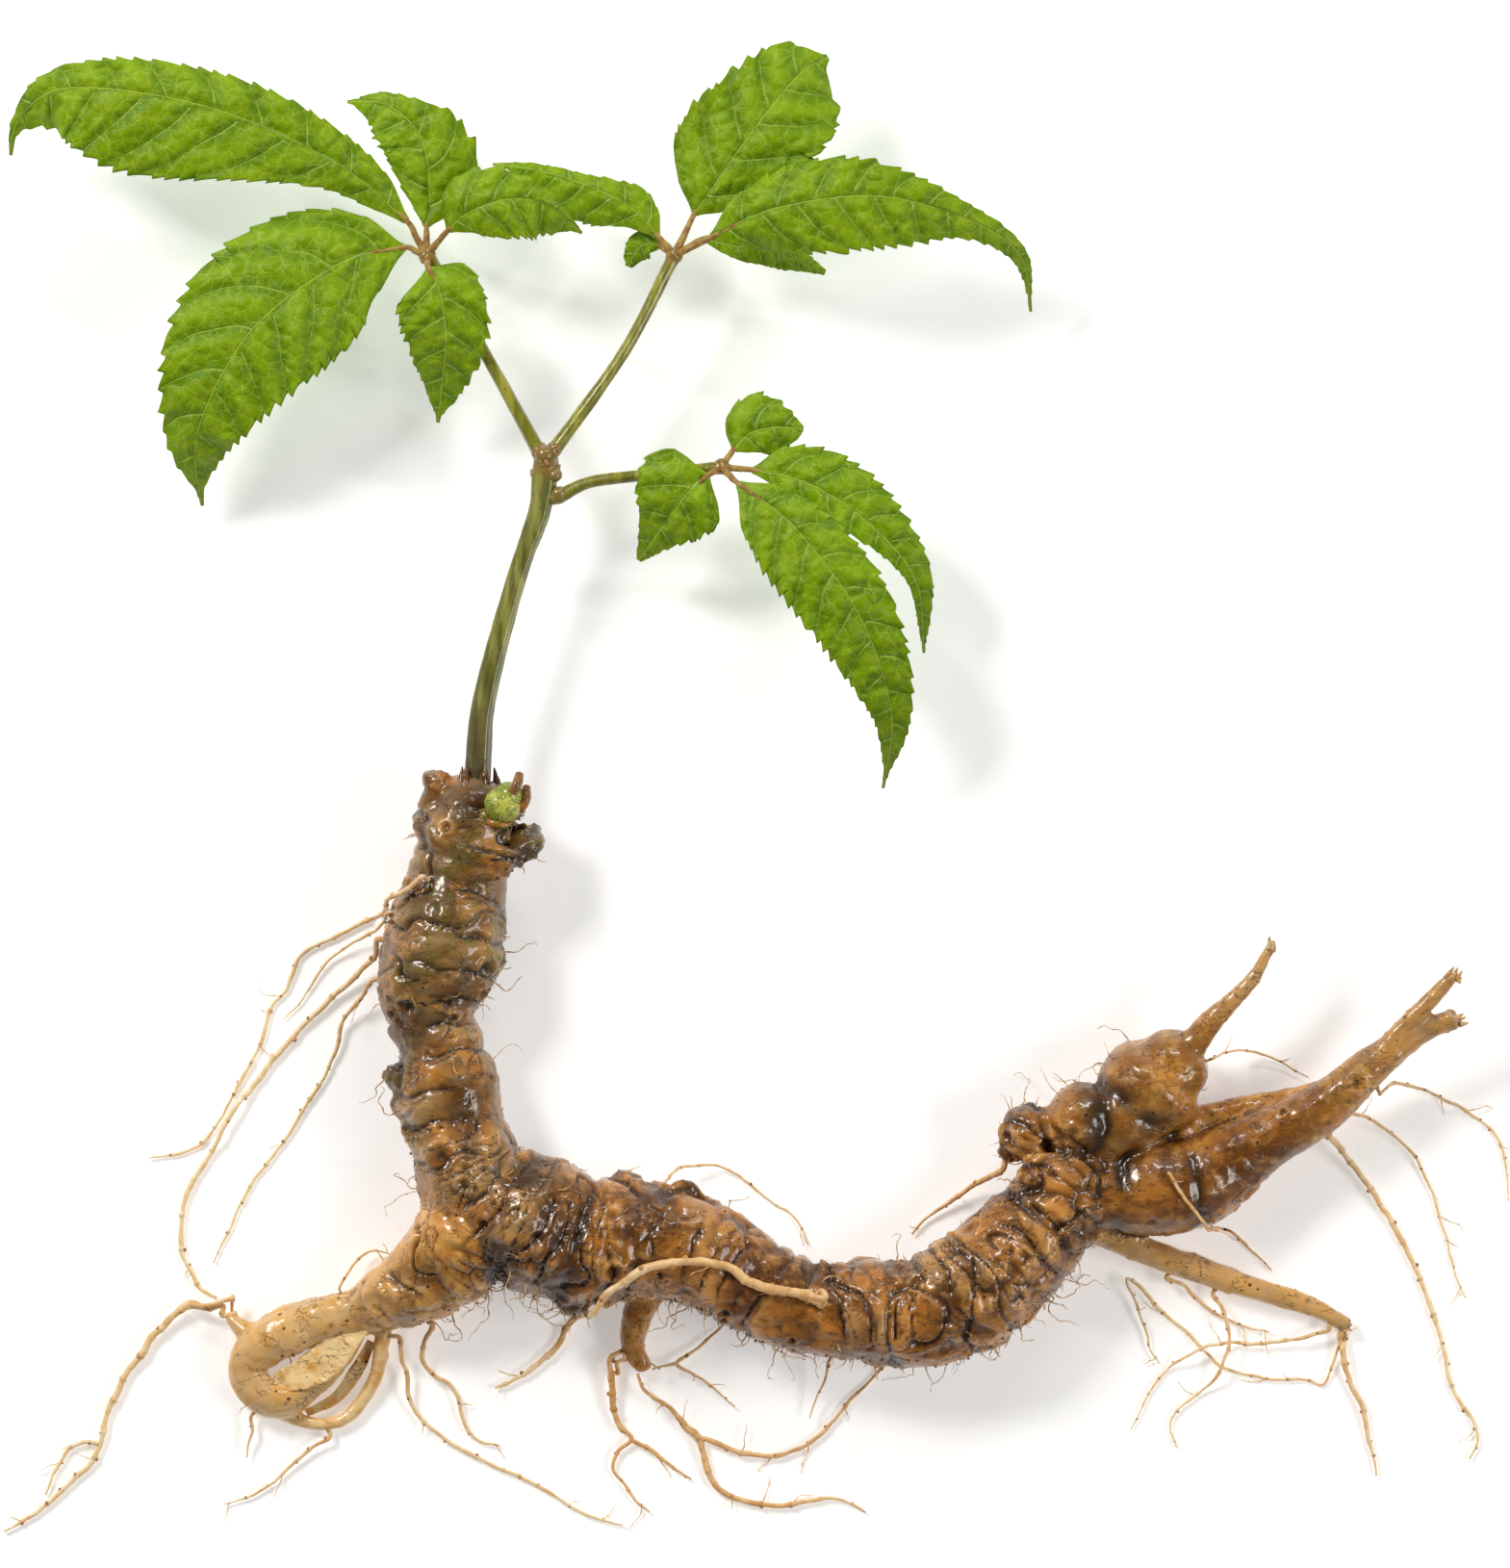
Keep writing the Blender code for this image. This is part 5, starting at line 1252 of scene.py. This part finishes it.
# %% Leaflet tables
STATIONS = np.array([0.0, 0.08, 0.2, 0.35, 0.5, 0.65, 0.8, 0.92, 1.0])
LEAFLETS = {
    "leaflet_left_long": (
        "petiole_left",
        [(-4, 7, 2), (-19, 19, 8), (-45, 30, 11), (-73, 34, 7), (-84, 28, -1), (-86, 21, -6)],
        (0.8, 3.4, 6.5, 12, 16, 16, 10, 3.5, 0.7),
        (0.8, 4, 6, 7.4, 7.3, 6.6, 4, 1.8, 0.7), -0.15, -0.25),
    "leaflet_left_broad": (
        "petiole_left",
        [(-4.4, 1.6, 1.6), (-18, -2, 5.4), (-36, -16, 7), (-47, -36, 1), (-47, -51, -14)],
        (0.8, 8, 14, 16, 14.6, 11, 6.5, 2.6, 0.7),
        (0.8, 7.5, 14, 16.4, 15.2, 11, 5.6, 2.2, 0.7), -0.1, -0.2),
    "leaflet_left_lower": (
        "petiole_left",
        [(0.5, -2.8, 4.1), (3, -8, 6.4), (4, -18, 4), (2, -34, -8)],
        (0.8, 6.8, 8.8, 9, 7.8, 6, 3.6, 1.8, 0.7),
        (0.8, 7.5, 9.4, 9, 7.6, 5.4, 3, 1.6, 0.7), -0.2, -0.2),
    "leaflet_left_back": (
        "petiole_left",
        [(0, 6, 0), (0.5, 13, 1), (-1, 24, 2), (-8, 31, 1), (-16.5, 32, -4)],
        (0.8, 3, 5.5, 7.8, 8.4, 7.6, 5.5, 3, 0.7),
        (0.8, 5, 9, 10.5, 8, 4, 2, 1, 0.6), -0.2, -0.15),
    "leaflet_left_front": (
        "petiole_left",
        [(4.5, 5, 3.5), (9, 8.5, 8), (17, 11, 10), (25, 10, 8), (32, 4.5, 2)],
        (0.8, 4.5, 7.6, 7.5, 5.5, 3, 1.6, 1, 0.6),
        (0.8, 2.8, 5.5, 7.5, 7.8, 7.6, 5.5, 2.5, 0.7), -0.2, -0.15),
    "leaflet_middle_left": (
        "petiole_middle",
        [(-3.5, 4, 0.5), (-8, 9, 2), (-17, 14, 2), (-28, 17.5, 0), (-37.5, 19, -3)],
        (0.8, 2.5, 4.5, 7.2, 7.2, 4.2, 2.6, 1.2, 0.6),
        (0.8, 3, 4.8, 3.4, 2, 1.6, 1.2, 0.9, 0.6), -0.5, -0.6),
    "leaflet_middle_small": (
        "petiole_middle",
        [(-3, 2, -2), (-5.5, 2.8, -2), (-8, 1.2, -3.5), (-9.6, -2, -5.5)],
        (0.8, 1.7, 2.6, 3.1, 3, 2.6, 1.9, 1.2, 0.7),
        (0.8, 1.7, 2.6, 3, 2.8, 2.3, 1.7, 1.1, 0.7), -0.2, -0.2),
    "leaflet_middle_top": (
        "petiole_middle",
        [(4, 8.5, 0), (10, 17, 3), (18, 28, 4), (26, 37.5, 2), (31.5, 41, -2)],
        (0.8, 6.5, 11.5, 13.4, 12, 10.5, 8.6, 5, 1.2),
        (0.8, 4.5, 8, 11, 13, 13.4, 12, 8, 1.5), -0.2, -0.12),
    "leaflet_middle_long": (
        "petiole_middle",
        [(7.5, 3.5, 3), (20, 9, 9), (41, 11.5, 12), (60, 7, 7), (71, 0, 0), (73.5, -11, -10)],
        (0.8, 4.5, 7.5, 8, 5.4, 3, 1.8, 1, 0.6),
        (0.8, 6, 9.8, 11, 9.3, 4.2, 2.2, 1.2, 0.6), -0.2, -0.25),
    "leaflet_middle_low": (
        "petiole_middle",
        [(6, 3.6, -2.7), (12, 2.2, -3.3), (20, 1, -5), (31, -3, -9)],
        (0.7, 1.6, 2.8, 3.4, 3.4, 3.1, 2.3, 1.3, 0.6),
        (0.7, 1.2, 2.2, 3, 3.1, 2.8, 1.8, 1, 0.6), -0.3, -0.3),
    "leaflet_right_near": (
        "petiole_right",
        [(-2.6, -1.8, 3.5), (-6.5, -5, 4.3), (-11.5, -11.5, 1), (-17, -19, -7)],
        (0.8, 6.5, 8.8, 8.4, 6.6, 4.4, 2.6, 1.5, 0.6),
        (0.8, 8.5, 11, 10, 7.6, 4.8, 2.8, 1.5, 0.6), -0.3, -0.1),
    "leaflet_right_top": (
        "petiole_right",
        [(2.6, 3.6, -1), (6, 7, 0), (11, 8.3, 0), (17, 8, -2)],
        (0.8, 3.2, 5.6, 7.2, 7.2, 5.4, 3.4, 1.8, 0.6),
        (0.8, 2.6, 4.4, 5.2, 5.6, 5.2, 4, 2.6, 0.7), -0.15, -0.2),
    "leaflet_right_long": (
        "petiole_right",
        [(6.5, -0.6, 1), (17, -3, 4), (29, -10.5, 5), (40, -23, 0), (42, -38, -14)],
        (0.8, 5.5, 8, 8, 6.2, 4, 2, 1.2, 0.6),
        (0.8, 2.6, 4.6, 4.8, 3.2, 2, 1.4, 1, 0.6), -0.2, -0.15),
    "leaflet_right_longest": (
        "petiole_right",
        [(3.5, -3.5, 4.5), (15, -12.5, 10), (28, -30, 10), (35, -50, 2), (33.5, -66, -13)],
        (0.8, 4, 6.6, 7.8, 7.2, 5.6, 3.2, 1.5, 0.6),
        (0.8, 7.5, 10.6, 11, 9.4, 6.4, 3, 1.4, 0.6), -0.2, -0.15),
}
print(len(LEAFLETS), "leaflets on", len(HUBS), "hubs")

# %% [markdown]
# ## Growing a leaflet
#
# A leaflet is a fine grid bent along its midrib. Three things make it read as
# a ginseng leaf: forward-leaning teeth on the margin, side veins that curve
# towards the tip, and the quilting of the blade that bulges between veins.
# Vein numbers travel with each corner so that the finish can draw thin lines.

# %% Leaflet shape
BLADE = 0.42        # mm: thickness of the blade drawn here
ROW = 0.42          # mm between the rows of the grid
NARROW = 12.0       # mm: a narrower blade has fewer corners across
SHORT = 34.0        # mm: a shorter leaflet has a blunter tip
TOOTH = 3.3         # mm of margin for each tooth of a middling leaflet
VEIN_GAP = 0.45     # space between side veins, as a share of the leaflet's half width


def shaped(values, t):
    """Half width at share t of the midrib, smoothly joined through the stations."""
    values = np.asarray(values, float)
    k = np.clip(np.searchsorted(STATIONS, t, "right") - 1, 0, len(STATIONS) - 2)
    u = (t - STATIONS[k]) / (STATIONS[k + 1] - STATIONS[k])
    a, b, c, d = (values[np.clip(k + i, 0, len(values) - 1)] for i in (-1, 0, 1, 2))
    m0, m1 = (c - a) / 2, (d - b) / 2
    return ((2 * u ** 3 - 3 * u ** 2 + 1) * b + (u ** 3 - 2 * u ** 2 + u) * m0
            + (3 * u ** 2 - 2 * u ** 3) * c + (u ** 3 - u ** 2) * m1)


def grid_noise(x, y, z, size, seed):
    """Noise at every corner of a grid."""
    spots = np.stack(np.broadcast_arrays(x, y, z), -1)
    return noise(spots.reshape(-1, 3), size, seed).reshape(spots.shape[:-1])


def grow_leaflet(name, seed):
    """The blade's corners and faces, the numbers that travel with them, the hub and the midrib."""
    stalk_name, offsets, left, right, droop_left, droop_right = LEAFLETS[name]
    hub = HUBS[stalk_name]
    route = [hub + np.array(p) for p in offsets]
    fine, run = smooth_path(route, 0.5)
    length = run[-1]
    rows = max(60, int(length / ROW))
    lanes = 25 if max(left) + max(right) < NARROW else 45
    t = np.linspace(0, 1, rows)
    middle = np.stack([np.interp(t * length, run, column) for column in fine.T], 1)
    ahead = np.gradient(middle, axis=0)
    side = np.stack([-ahead[:, 1], ahead[:, 0], ahead[:, 0] * 0], 1)
    side /= np.linalg.norm(side, axis=1)[:, None] + 1e-9
    flat_ahead = ahead / (np.linalg.norm(ahead, axis=1)[:, None] + 1e-9)
    v = np.linspace(-1, 1, lanes)
    v = np.sign(v) * np.abs(v) ** 0.85
    T, V = np.meshgrid(t, v, indexing="ij")
    half_left, half_right = np.maximum(shaped(left, t), 0.45), np.maximum(shaped(right, t), 0.45)
    half = np.where(V > 0, half_left[:, None], half_right[:, None])
    half = half * (1 - 0.5 * smooth_step(T, 0.84, 0.97) * (length > SHORT))
    droop = np.where(V > 0, droop_left, droop_right)
    # teeth lean forward, and fade towards the base and the very tip
    margin_run = length * T * 1.03 + np.where(V > 0, 0.0, 1.4)
    tooth_size = TOOTH * (0.72 + 0.03 * max(max(left), max(right)))
    saw = (margin_run / tooth_size + 0.42 * grid_noise(T * 20, V, seed, 1.0, 500)) % 1.0
    tooth = np.where(saw < 0.8, (saw / 0.8) ** 1.3, (1 - saw) / 0.2)
    uneven = 1 + 0.45 * grid_noise(T * length, V * 9.0, seed, 4.0, 510)
    tooth_depth = (uneven * np.clip(half * 0.1, 0.2, 0.95)
                   * smooth_step(T, 0.03, 0.12) * smooth_step(1.0 - T, 0.0, 0.06))
    at_edge = smooth_step(np.abs(V), 0.72, 1.0)
    reach = np.abs(V) * half + at_edge * tooth_depth * (tooth - 0.42) * 1.15
    lean = at_edge * tooth_depth * 1.1 * tooth
    points = (middle[:, None] + side[:, None] * (np.sign(V) * reach)[..., None]
              + flat_ahead[:, None] * lean[..., None])
    points[..., 2] += np.abs(V) ** 1.5 * half * droop
    # side veins curve forward; between them the blade bulges
    outward = np.abs(V) * half
    gap = 3.0 + VEIN_GAP * max(max(left), max(right))
    wiggle = 0.8 * grid_noise(T * length, V * half, seed, 6.0, 520)
    vein_phase = (T * length - 0.45 * outward - 0.04 * outward ** 2 + wiggle * smooth_step(outward, 0.5, 4.0)
                  + np.where(V > 0, 0.0, gap * 0.45)) / gap
    quilt = np.abs(np.sin(math.pi * vein_phase)) ** 0.8
    body = smooth_step(half, 1.5, 6.0) * (1 - 0.5 * at_edge)
    points[..., 2] += 0.085 * gap * (quilt - 0.6) * body * smooth_step(outward, 0.4, 2.5)
    panels = np.stack([T * length, V * half, T * 0 + 0.5], -1).reshape(-1, 3)
    near_cell, next_cell = cells(panels, 3.6, 530)
    points[..., 2] += 0.5 * (smooth_step(next_cell - near_cell, 0.0, 0.55) - 0.5).reshape(T.shape) * body
    points[..., 2] -= 0.55 * np.exp(-(outward / 0.9) ** 2) * body
    spots = points.reshape(-1, 3)
    crumple = 0.38 * noise(spots, 4.2, seed) + 0.22 * noise(spots, 1.9, seed + 1)
    points[..., 2] += crumple.reshape(T.shape) * body
    wave = np.sin(T * length / 7.5 + seed) * 0.7 + noise(spots, 12.0, seed + 2).reshape(T.shape) * 1.0
    points[..., 2] += wave * np.abs(V) ** 2 * smooth_step(half, 2.0, 8.0)
    numbers_of = {"rib": np.sign(V) * outward, "vein": vein_phase, "run": T * length,
                  "edge": np.abs(V), "gap": T * 0 + gap}
    sheet_corners, sheet_faces = closed_sheet(points.reshape(-1, 3), T.shape, BLADE)
    return (sheet_corners, sheet_faces), {k: np.tile(x.ravel(), 2) for k, x in numbers_of.items()}, hub, fine


longest = smooth_path(LEAFLETS["leaflet_left_long"][1], 0.5)[1][-1]
print("longest blade:", round(longest, 1), "mm along its midrib")

# %% [markdown]
# ## Leaf green
#
# From above a leaf is a glossy green sheet with a pale midrib, pale side veins
# and a net of finer veins. Underneath it is duller and lighter. The recipe
# reads the vein numbers of each corner and mixes one line after another in.

# %% Leaf recipe
leaf_recipe = Recipe("leaf_blade")
r = leaf_recipe
rib = r.math("ABSOLUTE", r.attribute("rib"))
vein = r.math("PINGPONG", r.attribute("vein"), 0.5)
vein_mm = r.math("MULTIPLY", r.math("MULTIPLY", vein, r.attribute("gap")), 0.85)
taper = r.band(r.attribute("edge"), 0.15, 0.95, 0.36, 0.18)
vein_line = r.math("SUBTRACT", 1.0, r.math("DIVIDE", vein_mm, taper), clamp=True)
vein_line = r.math("MULTIPLY", vein_line, r.band(r.attribute("edge"), 0.9, 1.0, 1.0, 0.0))
rib_line = r.band(rib, 0.06, 0.26, 1.0, 0.0)
net_place = r.combine(r.attribute("run"), r.attribute("rib"))
net_wander = r.node("ShaderNodeTexNoise")
r.feed(net_wander.inputs["Vector"], net_place)
r.feed(net_wander.inputs["Scale"], 0.5)
bent = r.node("ShaderNodeMix", data_type="VECTOR")
r.feed(bent.inputs[0], 0.12)
r.feed(bent.inputs[4], net_place)
spread = r.node("ShaderNodeVectorMath", operation="SCALE")
r.feed(spread.inputs[0], net_wander.outputs["Color"])
r.feed(spread.inputs[3], 12.0)
added = r.node("ShaderNodeVectorMath", operation="ADD")
r.feed(added.inputs[0], net_place)
r.feed(added.inputs[1], spread.outputs[0])
r.feed(bent.inputs[5], added.outputs[0])
net = r.voronoi(0.36, "DISTANCE_TO_EDGE", where=bent.outputs[1])
net_line = r.band(net, 0.012, 0.06, 1.0, 0.0)
fine_net = r.voronoi(1.5, "DISTANCE_TO_EDGE", where=bent.outputs[1])
fine_line = r.band(fine_net, 0.02, 0.12, 1.0, 0.0)
patch = r.noise(90.0, 4.0)
tone = r.mix(r.band(patch, 0.34, 0.66), colour(104, 140, 0), colour(126, 160, 0))
# painted shade in the valleys along the veins, and a painted highlight on the bulges between them
bulge_highlight = r.band(vein, 0.06, 0.42)
valley_shade_tone = r.mix(0.55, tone, colour(78, 116, 0))
bulge_highlight_tone = r.mix(0.35, tone, colour(156, 184, 8))
tone = r.mix(r.math("MULTIPLY", bulge_highlight, 0.75), valley_shade_tone, bulge_highlight_tone)
tone = r.mix(r.band(r.noise(420.0, 4.0), 0.45, 0.7, 0.0, 0.35), tone, colour(150, 176, 20))
tone = r.mix(r.math("MULTIPLY", fine_line, 0.12), tone, colour(64, 108, 0))
tone = r.mix(r.math("MULTIPLY", net_line, 0.34), tone, colour(164, 192, 60))
tone = r.mix(r.math("MULTIPLY", vein_line, 0.52), tone, colour(182, 206, 92))
tone = r.mix(r.math("MULTIPLY", rib_line, 0.5), tone, colour(180, 200, 84))
under_tone = r.mix(r.band(patch, 0.4, 0.6), colour(128, 168, 78), colour(146, 184, 96))
under_line = r.math("MULTIPLY", r.math("MAXIMUM", vein_line, rib_line), 0.6)
under_tone = r.mix(under_line, under_tone, colour(186, 208, 140))
tone = r.mix(r.attribute("under"), tone, under_tone)
stalk_tone = r.mix(r.band(r.noise(600.0, 3.0), 0.4, 0.6), colour(172, 146, 78), colour(146, 104, 62))
tone = r.mix(r.attribute("stalk"), tone, stalk_tone)
tone = r.mix(r.math("MULTIPLY", r.band(r.attribute("edge"), 0.965, 1.0), 0.35), tone, colour(96, 128, 40))
relief = r.math("SUBTRACT", r.math("MULTIPLY", net, 0.9), r.math("MULTIPLY", vein_line, 0.5))
relief = r.math("SUBTRACT", relief, r.math("MULTIPLY", rib_line, 0.6))
relief = r.math("ADD", relief, r.math("MULTIPLY", fine_net, 0.35))
relief = r.math("MULTIPLY", relief, r.math("SUBTRACT", 1.0, r.attribute("stalk")))
leaf_skin = leaf_recipe.finish(tone, r.band(patch, 0.3, 0.7, 0.36, 0.5), relief,
                               depth=0.0007, strength=0.6, Specular_IOR_Level=0.18)

LEAF_STALK = 0.7    # mm: radius of the stalk of a leaflet
RIB_DROP = 1.0      # mm: how far under the midrib its raised back lies
OFF_BLADE = {"rib": 5.0, "gap": 5.0, "vein": 0.5}      # keeps vein lines off stalks and ribs
for number, name in enumerate(LEAFLETS):
    blade, facts, hub, fine = grow_leaflet(name, 600 + 11 * number)
    inner = fine[np.searchsorted(np.linspace(0, 1, len(fine)), 0.10)]
    base = fine[0]
    stalk = [(*hub, LEAF_STALK * 1.25), (*(hub * 0.5 + base * 0.5 + (0, 0, 0.1)), LEAF_STALK),
             (*base, LEAF_STALK * 0.8), (*(inner - (0, 0, RIB_DROP)), LEAF_STALK * 0.4)]
    stalk_shape = wavy_tube(stalk, seed=800 + number, sides=12, roughness=0.1)
    rib_points = fine[::6] - (0, 0, RIB_DROP)
    rib_route = [(*p, max(0.16, 0.45 * (1 - k / len(rib_points)))) for k, p in enumerate(rib_points)]
    rib_shape = wavy_tube(rib_route, seed=850 + number, sides=8, roughness=0.05)
    corners, faces = join_shapes([blade, stalk_shape, rib_shape])
    leaflet = make_object(name.replace("leaflet", "leaf"), corners * MM, faces)
    counts = [len(blade[0]) // 2, len(blade[0]) // 2, len(stalk_shape[0]), len(rib_shape[0])]
    for key, values in facts.items():
        others = np.full(counts[2] + counts[3], OFF_BLADE.get(key, 0.0))
        set_attribute(leaflet, key, np.concatenate([values, others]))
    # the shapes in order: upper side, underside, stalk, raised back of the midrib
    set_attribute(leaflet, "under", np.repeat([0.0, 1.0, 0.0, 1.0], counts))
    set_attribute(leaflet, "stalk", np.repeat([0.0, 0.0, 1.0, 0.0], counts))
    leaflet.data.materials.append(leaf_skin)
    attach(leaflet, "root")
    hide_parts(name)
print(len(LEAFLETS), "leaflets grown")
